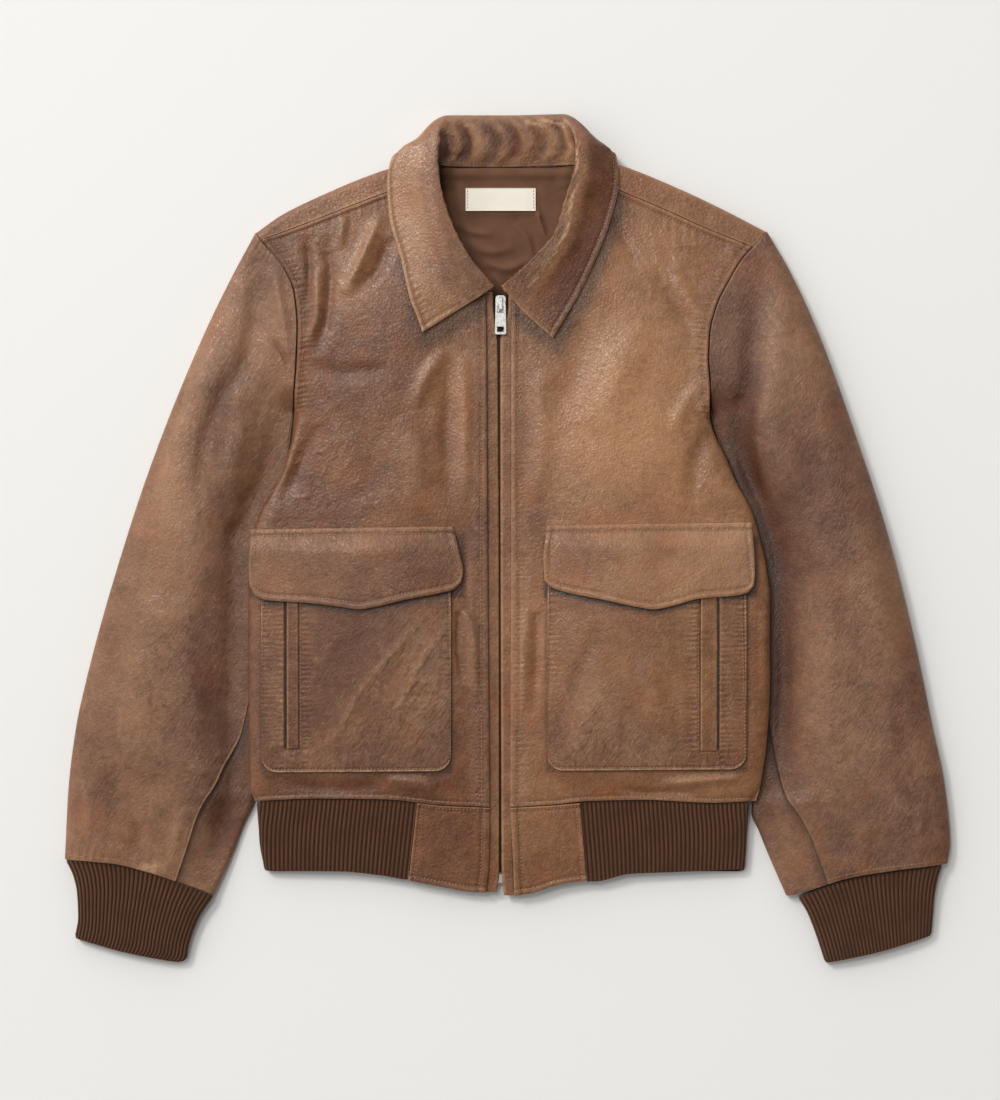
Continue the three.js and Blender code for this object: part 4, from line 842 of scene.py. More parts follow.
def add_bump(nodes, link, shader, height, distance, strength):
    bump = nodes.new("ShaderNodeBump")
    bump.inputs["Distance"].default_value = distance
    bump.inputs["Strength"].default_value = strength
    link(height, bump.inputs["Height"])
    link(bump.outputs["Normal"], shader.inputs["Normal"])


def attribute(nodes, name):
    node = nodes.new("ShaderNodeAttribute")
    node.attribute_name = name
    return node.outputs["Fac"]


def leather_material(name, dark, pale, warm, rubbed_and_painted_light, grain=410.0, bump=0.5):
    """Worn leather: the leather group with this leather's colours, driven by tone, wear and painted light."""
    material, nodes, link, shader = new_material(name)
    group = nodes.new("ShaderNodeGroup")
    group.node_tree = LEATHER_GROUP
    link(nodes.new("ShaderNodeTexCoord").outputs["Object"], group.inputs["Vector"])
    for label, colour in (("Dark", dark), ("Pale", pale), ("Warm", warm), ("Rubbed", rubbed_and_painted_light)):
        group.inputs[label].default_value = srgb(*colour)
    group.inputs["Grain"].default_value = grain
    link(attribute(nodes, "tone"), group.inputs["Tone"])
    link(attribute(nodes, "wear"), group.inputs["Wear"])
    link(attribute(nodes, "crinkle"), group.inputs["Crinkle"])
    link(group.outputs["Color"], shader.inputs["Base Color"])
    link(group.outputs["Roughness"], shader.inputs["Roughness"])
    add_bump(nodes, link, shader, group.outputs["Height"], 0.0009, bump)
    shader.inputs["Specular IOR Level"].default_value = 0.55
    return material


def woven_material(name, light, dark, threads, roughness=0.9, bump=0.4):
    """A plain weave in two near colours."""
    material, nodes, link, shader = new_material(name, roughness=roughness)
    group = nodes.new("ShaderNodeGroup")
    group.node_tree = WEAVE_GROUP
    link(nodes.new("ShaderNodeTexCoord").outputs["Object"], group.inputs["Vector"])
    group.inputs["Light"].default_value = srgb(*light)
    group.inputs["Dark"].default_value = srgb(*dark)
    group.inputs["Threads"].default_value = threads
    link(attribute(nodes, "shade"), group.inputs["Shade"])
    link(group.outputs["Color"], shader.inputs["Base Color"])
    add_bump(nodes, link, shader, group.outputs["Height"], 0.0002, bump)
    shader.inputs["Specular IOR Level"].default_value = 0.2
    return material


def knit_material():
    """Wool rib: a brown on the ridges and a near black in the valleys from the rib attribute (the dark
    valleys are painted shade), rows of small loops across each ridge from the course attribute, and a
    fuzz of fine noise."""
    material, nodes, link, shader = new_material("rib_knit", roughness=0.95)
    ridge, course = attribute(nodes, "ridge"), attribute(nodes, "course")
    vector = nodes.new("ShaderNodeTexCoord").outputs["Object"]
    fuzz = noise_node(nodes, link, vector, 1400, 3, 0.7)
    soft = noise_node(nodes, link, vector, 55, 3, 0.6)
    slant = math_node(nodes, link, "ADD", course, math_node(nodes, link, "MULTIPLY", ridge, 0.35))
    wave = math_node(nodes, link, "SINE", math_node(nodes, link, "MULTIPLY", slant, 2 * np.pi))
    loops = math_node(nodes, link, "MULTIPLY_ADD", wave, 0.5, 0.5)
    # Painted shade: the valleys of the rib are coloured near black, the ridges brown.
    depth = spread(nodes, link, ridge, 0.0, 1.0)
    colour = blend_node(nodes, link, depth, srgb(38, 21, 10), srgb(94, 58, 35))
    worn = spread(nodes, link, soft, 0.35, 0.7, 0.0, 0.45)
    colour = blend_node(nodes, link, worn, colour, srgb(62, 37, 22))
    link(colour, shader.inputs["Base Color"])
    height = math_node(nodes, link, "ADD", math_node(nodes, link, "MULTIPLY", loops, 0.5), fuzz)
    add_bump(nodes, link, shader, height, 0.0005, 0.55)
    shader.inputs["Specular IOR Level"].default_value = 0.15
    shader.inputs["Sheen Weight"].default_value = 0.25
    return material


def metal_material(name, colour, roughness):
    """Aged plated metal: a little colour mottle and fine scratches in its roughness and bump."""
    material, nodes, link, shader = new_material(name, metallic=1.0, roughness=roughness)
    vector = nodes.new("ShaderNodeTexCoord").outputs["Object"]
    mottle = noise_node(nodes, link, vector, 700, 3, 0.6)
    fine = noise_node(nodes, link, vector, 3000, 2, 0.6)
    dull = tuple(0.6 * c for c in colour)
    shade = spread(nodes, link, mottle, 0.35, 0.7, 0.0, 0.6)
    link(blend_node(nodes, link, shade, srgb(*colour), srgb(*dull)), shader.inputs["Base Color"])
    link(spread(nodes, link, mottle, 0.3, 0.7, roughness - 0.08, roughness + 0.12), shader.inputs["Roughness"])
    add_bump(nodes, link, shader, fine, 0.00005, 0.3)
    return material


BODY_LEATHER = leather_material("body_leather", (83, 40, 14), (169, 121, 83), (142, 79, 38), (196, 152, 112))
SLEEVE_LEATHER = leather_material("sleeve_leather", (80, 40, 16), (165, 119, 84), (136, 76, 40), (192, 149, 112))
TRIM_LEATHER = leather_material("trim_leather", (85, 42, 16), (171, 124, 86), (146, 83, 41), (204, 160, 120), 460.0)
RIB = knit_material()
LINING = woven_material("neck_lining", (112, 78, 58), (90, 60, 43), 420.0, 0.75, 0.3)
LABEL = woven_material("label_cloth", (250, 243, 229), (242, 234, 218), 500.0, 0.85, 0.5)
TAPE = woven_material("zip_tape", (46, 30, 24), (34, 23, 18), 400.0)
THREAD = woven_material("sewing_thread", (186, 140, 98), (146, 102, 66), 900.0, 0.7, 0.3)
METAL = metal_material("zip_metal", (232, 232, 228), 0.42)
TEETH_METAL = metal_material("zip_teeth", (74, 62, 50), 0.45)


# ---- fronts ----
def sleeve_nodes(part, side):
    return [f"sleeve_{part}_{side.name}_{length}" for length in ("arm", "elbow", "wrist")]


def inside_box(x, y, low_x, high_x, low_y, high_y, soft):
    """1 within a rectangle in plan, easing to 0 over soft outside it."""
    out_x = np.maximum(np.maximum(low_x - x, x - high_x), 0)
    out_y = np.maximum(np.maximum(low_y - y, y - high_y), 0)
    return 1 - ease(np.hypot(out_x, out_y) / soft)


def under_pocket(side, x, y):
    """1 where a front lies under its pocket and flap, which keep it flat."""
    west, east = sorted((side.pocket.outer, side.pocket.inner))
    pocket = inside_box(x, y, west - 1, east + 1, side.pocket.bottom - 1, side.pocket.top, 5)
    west, east = sorted((side.flap_outer[0][1], side.flap_inner[0][1]))
    return np.maximum(pocket, inside_box(x, y, west - 7, east + 7, -64, 13, 5))


def cloth_swell(x, y, seed, size=1.0):
    """Soft unevenness of hide that has been worn: three sizes of noise."""
    return size * (0.42 * soft_noise(x, y, 62, seed) + 0.36 * soft_noise(x, y, 23, seed + 1)
                   + 0.15 * soft_noise(x, y, 8, seed + 2))


def front_plan(side):
    """A front panel in plan: from the front edge (u = 0) to the side seam and armhole, hem to shoulder."""
    up_side = track([side.hem[0], *side.body_edge[2:], *side.armhole[::-1][1:-1]])
    up_front = track([side.hem[-1], (float(side.front_x(0.0)), 0), side.neckline[-1]])
    top = chain(track(side.neckline[::-1]), track(side.shoulder_seam[::-1]), 0.46)
    return patch(track(side.hem[::-1]), top, up_front, up_side)


# Base tone and tone patches on each front (x, y, half width, half height, strength): partly the hide's uneven colour
# and partly painted light, pale where the chest catches a sheen and darker where it lies in shade.
FRONT_TONE_AND_LIGHT = {
    "right": (-0.35, [(-136, 226, 50, 44, 0.5), (-46, 110, 24, 100, 0.8), (-118, 99, 34, 34, 0.2),
                      (-40, -120, 18, 90, 0.5), (-190, 70, 30, 60, -0.3), (-60, 200, 30, 40, 0.3)]),
    "left": (0.2, [(112, 120, 66, 110, 1.2), (120, 222, 30, 20, -0.3), (40, -60, 20, 90, 0.3),
                    (180, -225, 40, 14, 0.3), (26, 60, 12, 120, -0.4), (215, -120, 20, 90, -0.4)])}


# Lines along the collar leaves' lower edges; the fronts get a painted shadow of the collar beside them.
COLLAR_SHADE = {"right": [(-92, 246), (-76, 190), (-70, 177), (-38, 196), (-14, 210)],
                "left": [(104, 317), (98, 283), (83, 244), (68, 210), (52, 184), (44, 171), (20, 192), (3, 208)]}


def make_front(side):
    """A front panel: the body's top surface with its creases, gathers and sewn edges on it."""
    u = fractions(215, 1.75)[None, :]
    v = fractions(540, 1.25)[:, None]
    plan = front_plan(side)(u, v)
    x, y = plan[..., 0], plan[..., 1]
    grid = np.stack([x, y, body_top(x, y)], -1)
    edges = borders(grid)
    free = (1 - under_pocket(side, x, y)) * ease(np.minimum(edges.end, edges.start) / 7)
    seed = 11 if side is right else 31
    marks = side.front_creases
    relief = (1.9 * creases(x, y, marks) * ease(np.minimum(edges.first, edges.last) / 8)
              + cloth_swell(x, y, seed, 0.85)) * free
    fine = crinkle(x, y, 8, 3.0, 62 if side is right else 118, seed + 5)
    relief += free * fine * 0.7 * pale_patches(x, y, [(side.sign * 180, 60, 50, 60, 0.8),
                                                       (side.sign * 150, 250, 50, 40, 0.9),
                                                       (side.sign * 40, -120, 20, 90, 0.7)])
    arm_y = side.armhole[-1][1]
    at_armhole = ease((y - arm_y + 6) / 14)
    at_shoulder = ease((np.abs(x) - 70) / 10) * (y > 200)
    open_front = 1 - under_pocket(side, x, y)
    relief += sewn_edge(edges.first, 7.0, 0.5, 0.6)
    relief += puckers(edges.start, edges.first - 9, 0.5, 4.5, 4.0, seed) * ease(edges.first / 5)
    relief += at_armhole * sewn_edge(edges.last, 5.6, 0.8, 0.8)
    relief += at_armhole * puckers(edges.start, edges.last - 7, 0.75, 6.0, 4.6, seed + 1) * ease(edges.last / 3)
    relief += at_shoulder * (sewn_edge(edges.end, 5.0, 0.5, 0.6)
                             + puckers(edges.first, edges.end - 9, 0.5, 12, 7.5, seed + 2) * ease(edges.end / 4))
    relief += open_front * sewn_edge(edges.start, 4.0, 0.4, 0.5)
    relief += open_front * puckers(edges.first, edges.start - 6, 0.22, 5, 5, seed + 3) * ease(edges.start / 3)
    relief *= 1 - 0.85 * under_pocket(side, x, y)
    base, patches = FRONT_TONE_AND_LIGHT[side.name]
    least = back_height(x, y) + LEATHER + SEAM
    west, east = sorted((side.pocket.outer, side.pocket.inner))
    # Marks carried as wear and painted light: darker stitch troughs; painted shade and dirt round the pocket (beside);
    # the painted shadow of the collar leaf (shade) and of the flap (flap); a darker line at the armhole edge; and on
    # the left front a painted sheen.
    beside = inside_box(x, y, west, east, side.pocket.bottom, side.pocket.top, 3.5)
    grime_and_painted_light = (stitch_trough_darkening(edges.first, 7.0) + at_armhole * stitch_trough_darkening(edges.last, 5.6)
             + at_shoulder * stitch_trough_darkening(edges.end, 5.0) + open_front * stitch_trough_darkening(edges.start, 3.2) - 0.45 * beside)
    shade, *_ = near_line(x, y, COLLAR_SHADE[side.name], 30)
    west, east = sorted((side.flap_outer[0][1], side.flap_inner[0][1]))
    flap = inside_box(x, y, west + 1, east + 2.5, -52, 0, 4.5)
    # Painted sheen on the left chest, as pale marks.
    if side is left:
        grime_and_painted_light = grime_and_painted_light + pale_patches(x, y, [(112, 124, 56, 96, 0.28), (60, 40, 30, 24, 0.15)])
    grime_and_painted_light += -0.6 * np.exp(-(shade / 9) ** 2) - 0.6 * flap - 0.3 * at_armhole * np.exp(-(edges.last / 1.2) ** 2)
    piece, outer, normals, edges = add_leather(
        f"front_{side.name}_panel", grid, relief, BODY_LEATHER, "body_leather", [f"front_{side.name}"],
        tone=base + pale_patches(x, y, patches), wear=grime_and_painted_light, least=least,
        crinkled=0.5 * np.exp(-((edges.last - 8) / 8) ** 2) * at_armhole + 0.45 * np.exp(-((edges.first - 10) / 7) ** 2))
    sew(*line_at(outer, normals, edges.first, 7.0), start=4, end=8)
    sew(*line_at(outer, normals, edges.start, 3.2, False), start=8, end=8)
    points, up = line_at(outer, normals, edges.last, 5.6)
    seen = points[:, 1] > arm_y + 3
    sew(points[seen], up[seen], end=4)
    points, up = line_at(outer, normals, edges.end, 5.0, False)
    seen = (np.abs(points[:, 0]) > 84) & (points[:, 1] > 240)
    sew(points[seen], up[seen], end=4)
    return piece


# ---- back ----
FOLD_LINE = track([*right.shoulder_fold, (-52, 336.4), (0, 332.4), (52, 337), *left.shoulder_fold[::-1]])
SEAM_LINE = table([*right.shoulder_seam, (-52, 332.8), (0, 329), (52, 333.5), *left.shoulder_seam[::-1]])
FOLD_SIZE = table([(50, NECK_RADIUS), (78, FOLD_RADIUS)])


def back_top(u):
    """The fold over the shoulders at u: its points, the direction and distance in to the forward seam,
    and its radius."""
    top = FOLD_LINE(u)
    pull = np.where(top[..., 0] < 0, 4.5 * ease((-top[..., 0] - 180) / 45), -12.9 * ease((top[..., 0] - 170) / 64))
    seam_x = top[..., 0] + pull
    inward = np.stack([seam_x, SEAM_LINE(seam_x)], -1) - top
    depth = np.linalg.norm(inward, axis=-1)
    return SimpleNamespace(top=top, inward=inward / depth[..., None], depth=depth,
                           radius=FOLD_SIZE(np.abs(top[..., 0])))


def make_back():
    """The back panel: flat on the floor, half a turn round each shoulder fold, and on to the seam."""
    u = fractions(455, 3.4)
    fold = back_top(u)

    def floor_end(t):
        at = back_top(np.asarray(t, float))
        return at.top + at.inward * at.radius[..., None]

    def hem(t):
        t = np.asarray(t, float)
        return np.stack([mix(right.hem[0][0], left.hem[0][0], t), np.full(t.shape, right.hem[0][1])], -1)

    def side_up(side, end):
        return track([side.hem[0], *side.body_edge[2:], *side.armhole[::-1][1:-2], tuple(end)])

    v = fractions(540, 4.5)
    plan = patch(hem, floor_end, side_up(right, floor_end(0.0)), side_up(left, floor_end(1.0)))(u[None], v[:, None])
    rise = back_height(plan[..., 0], plan[..., 1])

    def surface(inset):
        rows = [np.concatenate([plan, (rise + inset)[..., None]], -1)]
        turn = np.pi * np.linspace(0, 1, 15)[1:, None]
        out = fold.radius - (fold.radius - inset) * np.sin(turn)
        high = fold.radius - (fold.radius - inset) * np.cos(turn)
        rows.append(np.concatenate([fold.top + fold.inward * out[..., None], high[..., None]], -1))
        share = np.linspace(0, 1, 6)[1:, None] ** 0.8
        out = share * (fold.depth - SEAM) + (1 - share) * fold.radius * 0.98
        flat = fold.top + fold.inward * out[..., None]
        lift = (body_top(flat[..., 0], flat[..., 1]) - SHOULDER_TOP) * ease((fold.radius - NECK_RADIUS) / 2)
        rows.append(np.concatenate([flat, (2 * fold.radius + lift * share - inset)[..., None]], -1))
        return np.concatenate(rows)

    outer, inner = surface(0), surface(LEATHER)
    swell = 0.3 * np.clip(soft_noise(outer[..., 0], outer[..., 1], 26, 71), 0, 1)
    outer[..., 2] += np.where(outer[..., 2] > 9, swell, 0)
    edges = borders(outer)
    near = np.minimum(np.minimum(edges.first, edges.last), np.minimum(edges.start, edges.end))
    return add_wall("back_panel", outer, inner, BODY_LEATHER, "body_leather", ["back"], keep=2,
                    tone=0.1 + 0 * near, wear=0.12 * np.exp(-(near / 1.2) ** 2))


# ---- sleeves: flattened tubes, flat below, crowned above, rounded at both folds ----
SLEEVE_CROWN = table([(0, 20), (0.2, 23), (0.5, 25), (0.8, 22), (1, 17)])
SLEEVE_LIP_AT = table([(0, SLEEVE_LIP), (0.84, SLEEVE_LIP), (1, 11)])
SLEEVE_FOLD_AT = table([(0, FOLD_RADIUS), (0.15, SLEEVE_OUTER_FOLD), (1, 8)])


def sleeve_shape(side):
    """Outline, width and upper height of a sleeve, at a share s across from its outer fold and v along."""
    arm_line = track(side.armhole)
    shift = np.array([side.sign * ARMHOLE_GAP, ARMHOLE_GAP / 2])
    outline = patch(lambda s: arm_line(s) + shift, track(side.sleeve_end),
                    track(side.sleeve_outer), track(side.sleeve_inner))
    corner_x, corner_y = side.armhole[-1]

    def width(v):
        return np.linalg.norm(outline(0 * v, v) - outline(0 * v + 1, v), axis=-1)

    def from_body(s, v):
        x, y = np.moveaxis(outline(s, v), -1, 0)
        below = np.maximum(0, side.sign * (x - side.edge_x(y)))
        return np.where(y < corner_y, below, np.hypot(x - corner_x, y - corner_y))

    def top(s, v):
        w = width(v)
        body, lip = from_body(s, v), SLEEVE_LIP_AT(v)
        free = mix(lip, SLEEVE_CROWN(v), ease((np.minimum(body, (1 - s) * w) - 2) / 55))
        arm = arm_line(s)
        joined = mix(body_top(arm[..., 0], arm[..., 1]), free, ease(v / 0.22))
        level = mix(lip, joined, ease((body - 1) / 26))
        outer = mix(SLEEVE_FOLD_AT(v), level, round_off(s * w / mix(8, SLEEVE_SHOULDER, ease(v / 0.2))))
        return mix(lip / 2, outer, round_off((1 - s) * w / 6))

    return SimpleNamespace(outline=outline, width=width, top=top, from_body=from_body)


def sleeve_grid(side, part, v, counts):
    """A sleeve panel's outside, and each point's share across if it lies on the upper side (else -1)."""
    shape = sleeve_shape(side)
    v = v[:, None]
    w, seam = shape.width(v), table(side.sleeve_seam)(v)
    fold, lip, gap = SLEEVE_FOLD_AT(v), SLEEVE_LIP_AT(v) / 2, SEAM / w
    below, turning, above = (np.linspace(0, 1, n + 1)[None] for n in counts)
    quarter = turning[:, 1:] * np.pi / 2

    def on_floor(s):
        return np.concatenate([shape.outline(s, v + 0 * s), 0 * s[..., None]], -1)

    def on_top(s):
        return np.concatenate([shape.outline(s, v + 0 * s), shape.top(s, v + 0 * s)[..., None]], -1)

    if part == "upper":
        floor = on_floor(mix(HIND_SEAM - gap, fold / w, below))
        d = fold - fold * np.sin(quarter)
        turned = np.concatenate([shape.outline(d / w, v + 0 * d), (fold - fold * np.cos(quarter))[..., None]], -1)
        t = above[:, 1:]
        s = (seam - gap) * (0.3 * t + 0.7 * t * t)
        s = np.where(t > 0.999, seam - gap, s)
        grid = np.concatenate([floor, turned, on_top(s)], 1)
        share = np.concatenate([np.full(floor.shape[:2], -1.0), np.full(turned.shape[:2], -1.0), s], 1)
    else:
        s = 1 - (1 - seam) * (1 - above) ** 1.6
        d = lip - lip * np.cos(quarter)
        turned = np.concatenate([shape.outline(1 - d / w, v + 0 * d), (lip - lip * np.sin(quarter))[..., None]], -1)
        floor = on_floor(mix(1 - lip / w, HIND_SEAM, below[:, 1:]))
        grid = np.concatenate([on_top(s), turned, floor], 1)
        share = np.concatenate([s, np.full(turned.shape[:2], -1.0), np.full(floor.shape[:2], -1.0)], 1)
    return shape, grid, share


# Base tone and tone patches on each sleeve (x, y, half width, half height, strength): partly the hide's uneven colour
# and partly painted light, pale where the sleeve's upper side catches the light and dark in the shade beside the body.
SLEEVE_TONE_AND_LIGHT = {
    "right": (0.05, [(-292, 50, 36, 130, 0.75), (-240, 195, 46, 60, 0.4), (-262, -110, 30, 140, -0.5),
                     (-252, 70, 14, 120, -0.7), (-330, -150, 26, 90, 0.3), (-250, -240, 30, 50, -0.6)]),
    "left": (-0.4, [(262, 150, 34, 90, 0.5), (340, -120, 30, 120, 0.3), (238, -80, 16, 130, -0.8),
                    (214, 120, 14, 80, -0.7), (330, -262, 60, 30, 0.1)])}


def make_sleeve(side, part):
    """A sleeve panel: its tube's outside, with creases and unevenness where it faces up."""
    upper = part == "upper"
    v = fractions(600, 2.0 if upper else 4.0)
    shape, grid, share = sleeve_grid(side, part, v, (12, 9, 84) if upper else (14, 7, 16))
    x, y = grid[..., 0], grid[..., 1]
    across = np.where(share < 0, 0, share)
    w = shape.width(v[:, None])
    body = shape.from_body(across, v[:, None] + 0 * across)
    edges = borders(grid)
    free = ((share >= 0) * ease(across * w / 16) * ease((body - 3) / 12) * ease(edges.start / 9)
            * ease(edges.end / 8) * ease((1 - across) * w / 7))
    seed = (51 if side is right else 61) + (0 if upper else 4)
    relief = (1.8 * creases(x, y, side.sleeve_creases) + cloth_swell(x, y, seed, 1.1)) * free
    arc = (share >= 0) * ease(edges.start / 3)
    relief += arc * puckers(edges.last if upper else edges.first, edges.start - 2, 0.6, 7, 5.0, seed) * ease(body / 8)
    if upper:
        seam = (share >= 0) * ease((body - 2) / 8)
        relief += seam * (0.5 * np.exp(-((edges.last - 2) / 1.6) ** 2))
        relief += seam * puckers(edges.start, edges.last - 3, 0.25, 6, 6.2, seed + 1) * ease(edges.last / 3)
    cuff_end = (share >= 0) * ease((body - 2) / 10)
    relief += cuff_end * puckers(edges.last if upper else edges.first, edges.end, 0.5, 13, 8.5, seed + 2) \
        * ease(edges.end / 3)
    base, patches = SLEEVE_TONE_AND_LIGHT[side.name]
    # A scuff near the right cuff, a painted highlight along the right upper panel's seam edge, painted shade on the
    # under panel beside the seam, and a painted shadow beside the body.
    scuff_and_painted_light = pale_patches(x, y, [(-320, -296, 9, 4, 0.8)]) if side is right else 0 * x
    if upper:
        scuff_and_painted_light = scuff_and_painted_light + (0.5 * seam * np.exp(-((edges.last - 1) / 1.1) ** 2) if side is right else 0)
    else:
        scuff_and_painted_light = scuff_and_painted_light - 0.6 * np.exp(-(edges.first / (7 if side is right else 4)) ** 2)
    scuff_and_painted_light = scuff_and_painted_light - (0.55 if side is left else 0.2) * np.exp(-(body / 13) ** 2) * ease((100 - y) / 40)
    piece, outer, normals, edges = add_leather(
        f"sleeve_{part}_{side.name}_panel", grid, relief, SLEEVE_LEATHER, "body_leather",
        sleeve_nodes(part, side), outward="round", tone=base + pale_patches(x, y, patches), wear=scuff_and_painted_light * (share >= 0),
        crinkled=0.3 * arc)
    if upper:
        points, up = line_at(outer, normals, edges.end, 4.0, False)
        seen = up[:, 2] > 0.5
        sew(points[seen], up[seen], start=2, end=2)
    return piece


# ---- ribbed cuffs and waistband ----
def rib_ridge(along, count):
    """Ribs round a loop: a raised cosine, squared off a little so that ridges are wider than valleys."""
    return (0.5 + 0.5 * np.cos(2 * np.pi * count * along)) ** 0.65


def spaced(loops, count, closed):
    """Each row of points laid out again at equal steps of its own length."""
    made = []
    for loop in loops:
        if closed:
            loop = np.concatenate([loop, loop[:1]])
        along = np.concatenate([[0], np.cumsum(np.linalg.norm(np.diff(loop, axis=0), axis=1))])
        places = np.linspace(0, along[-1], count, endpoint=not closed)
        made.append(np.stack([np.interp(places, along, loop[:, k]) for k in range(3)], -1))
    return np.array(made)


def add_rib(name, loops, length, node, closed):
    """Knitted rib: loops of points with ridges standing to their outside and valleys sunk between,
    1.1 mm deep, softened at both ends of each rib."""
    count = int(round(length / RIB_PITCH))
    grid = spaced(loops, 8 * count + (0 if closed else 1), closed)
    normals = normals_of(grid, "round", closed)
    steps = grid.shape[1] if closed else grid.shape[1] - 1
    ridge = rib_ridge(np.arange(grid.shape[1]) / steps, count)[None] + 0 * grid[..., 0]
    down = lengths_along(grid, 0)
    ends = np.minimum(down, down[-1:] - down)
    uneven = 0.25 * soft_noise(grid[..., 0], grid[..., 1], 19, 90)
    outer = grid - normals * (1.1 * (1 - ridge) * ease(ends / 3 + 0.35) + cut_edge(ends, 1.2) + 0.25 - uneven)[..., None]
    outer[..., 2] = np.maximum(outer[..., 2], 0.0)
    inner = grid - normals * RIB_CLOTH
    inner[..., 2] = np.maximum(inner[..., 2], 1.2)
    return add_wall(name, outer, inner, RIB, "knit_rib", [node], keep=4, closed=closed, ridge=ridge, course=down / 2.1)


CUFF_HEIGHT = table([(0, 15), (0.3, 14), (1, 12)])


def make_cuff(side):
    """A cuff: rings in plan across the sleeve, each a superellipse that is flatter below than above."""
    plan = patch(track(side.cuff_start), track(side.cuff_end), track(side.cuff_outer), track(side.cuff_inner))
    v = np.linspace(0, 1, 25)[:, None]
    ends = [plan(0 * v, v), plan(0 * v + 1, v)]
    half = np.linalg.norm(ends[0] - ends[1], axis=-1) / 2
    tall = CUFF_HEIGHT(v) / 2
    angle = 2 * np.pi * (np.linspace(0, 1, 1200, endpoint=False)[None] + 0.025)
    c, s = np.cos(angle), np.sin(angle)
    across = np.sign(c) * np.abs(c) ** 0.4 * half
    high = np.sign(s) * np.abs(s) ** np.where(s > 0, 0.6, 0.25) * tall
    loops = np.concatenate([plan((half + across) / (2 * half), v + 0 * across), (tall + high)[..., None]], -1)
    return add_rib(f"cuff_{side.name}_rib", loops, 272, f"cuff_{side.name}", True)


RIB_FOLD = 7
RIB_DROP = 0.6
RIB_HEM = table([(-218, -299.7), (-150, -300.3), (-110, -304.2), (-90, -307.4), (79, -309.3),
                 (112, -302.4), (150, -301), (214, -298.4)])
BACK_HEM = -236.7
RIB_BACK_END = -301


def make_waist_rib():
    """The waistband: along one front from its hem panel, round the side, under the back, and so to the
    other front. v runs down from the body's hem."""
    hem_line = table([*right.hem, *left.hem[::-1]])
    v = np.linspace(0, 1, 27)[:, None]

    def half(side):
        side_x = table(side.rib_side)(mix(-240, -299, v))
        gap_x = table(side.rib_gap)(mix(-237, -307, v)) + side.sign * SEAM
        edge = side_x - side.sign * RIB_FOLD

        def top(x):
            return full_height(x, -240 + 0 * x) * mix(0.97, 0.84, v)

        def under(x):
            inside = side.sign * (side_x - x)
            return TUCK_HEIGHT * ease(1 - v / 0.4) * ease(1 - (inside - TUCK_FLAT) / TUCK_SLOPE)

        def front_y(x):
            return mix(hem_line(x) - RIB_DROP, RIB_HEM(x), v)

        back_y = mix(BACK_HEM - RIB_DROP, RIB_BACK_END, v)
        x = mix(gap_x, edge, np.linspace(0, 1, 121)[None])
        front = np.stack([x, front_y(x), top(x)], -1)
        turn = np.linspace(0, 1, 25)[None, 1:-1]
        low, high = under(edge), top(edge)
        turned = np.stack([edge + side.sign * RIB_FOLD * np.sin(np.pi * turn), mix(front_y(edge), back_y, ease(turn)),
                           (high + low) / 2 + (high - low) / 2 * np.cos(np.pi * turn)], -1)
        x = mix(edge, CLOSURE_X, np.linspace(0, 1, 121)[None])
        back = np.stack([x, back_y + 0 * x, under(x)], -1)
        return np.concatenate([front, turned, back], 1)

    loops = np.concatenate([half(right), half(left)[:, -2::-1]], 1)
    return add_rib("waist_rib_knit", loops, 760, "waist_rib", False)


# ---- closure ----
def layer_grid(plan, u, v, height):
    """A surface over a plan: height is a function of x, y, u and v."""
    uu, vv = np.broadcast_arrays(u[None, :], v[:, None])
    x, y = np.moveaxis(plan(uu, vv), -1, 0)
    return np.stack([x, y, height(x, y, uu, vv)], -1)


def make_hem_panel(side):
    """The leather panel between the rib and the zip, below the hem seam."""
    gap = track([(x, y - 1.3) for y, x in side.rib_gap[::-1]])
    end = side.panel_end if side is right else side.panel_end[::-1]
    start = side.panel_top if side is right else side.panel_top[::-1]
    below = [(float(side.front_x(-242.6)), -242.6), (float(side.front_x(-290)), -290), end[-1]]
    plan = patch(track(start), track(end), gap, track(below))
    grid = layer_grid(plan, fractions(64, 1.5), fractions(74, 1.5), lambda x, y, u, v: full_height(x, y))
    x, y = grid[..., 0], grid[..., 1]
    edges = borders(grid)
    seed = 81 if side is right else 85
    relief = cloth_swell(x, y, seed, 0.8) * ease(np.minimum(edges.start, edges.end) / 6)
    relief += sewn_edge(edges.start, 3.2) + sewn_edge(edges.end, 5.0) + sewn_edge(edges.last, 7.0, 0.5, 0.6)
    relief += sewn_edge(edges.first, 4.0, 0.4)
    relief += puckers(edges.start, edges.last - 9, 0.22, 5, 5.2, seed + 1) * ease(edges.last / 5)
    piece, outer, normals, edges = add_leather(
        f"hem_panel_{side.name}_leather", grid, relief, BODY_LEATHER, "body_leather", [f"hem_panel_{side.name}"],
        tone=-0.15 if side is right else 0.1,
        wear=stitch_trough_darkening(edges.end, 5.0) + stitch_trough_darkening(edges.last, 7.0) + stitch_trough_darkening(edges.start, 2.6))
    for distance, stop, across in ((edges.start, 2.6, False), (edges.end, 5.0, False), (edges.last, 7.0, True),
                                   (edges.first, 4.0, True)):
        sew(*line_at(outer, normals, distance, stop, across), start=4, end=4)
    return piece


GUARD_DEPTH = LEATHER + SEAM
GUARD_TUCK = 6
CHAIN_WIDTH = 4.6
CHAIN_THICK = 2.4
CHAIN_DEPTH = GUARD_DEPTH + TRIM + 0.5
TAPE_WIDTH = 11
SLIDER_FOOT = 202.4           # top end of the closed chain


def zip_line(y):
    return (right.guard_x(y) + left.guard_x(y)) / 2


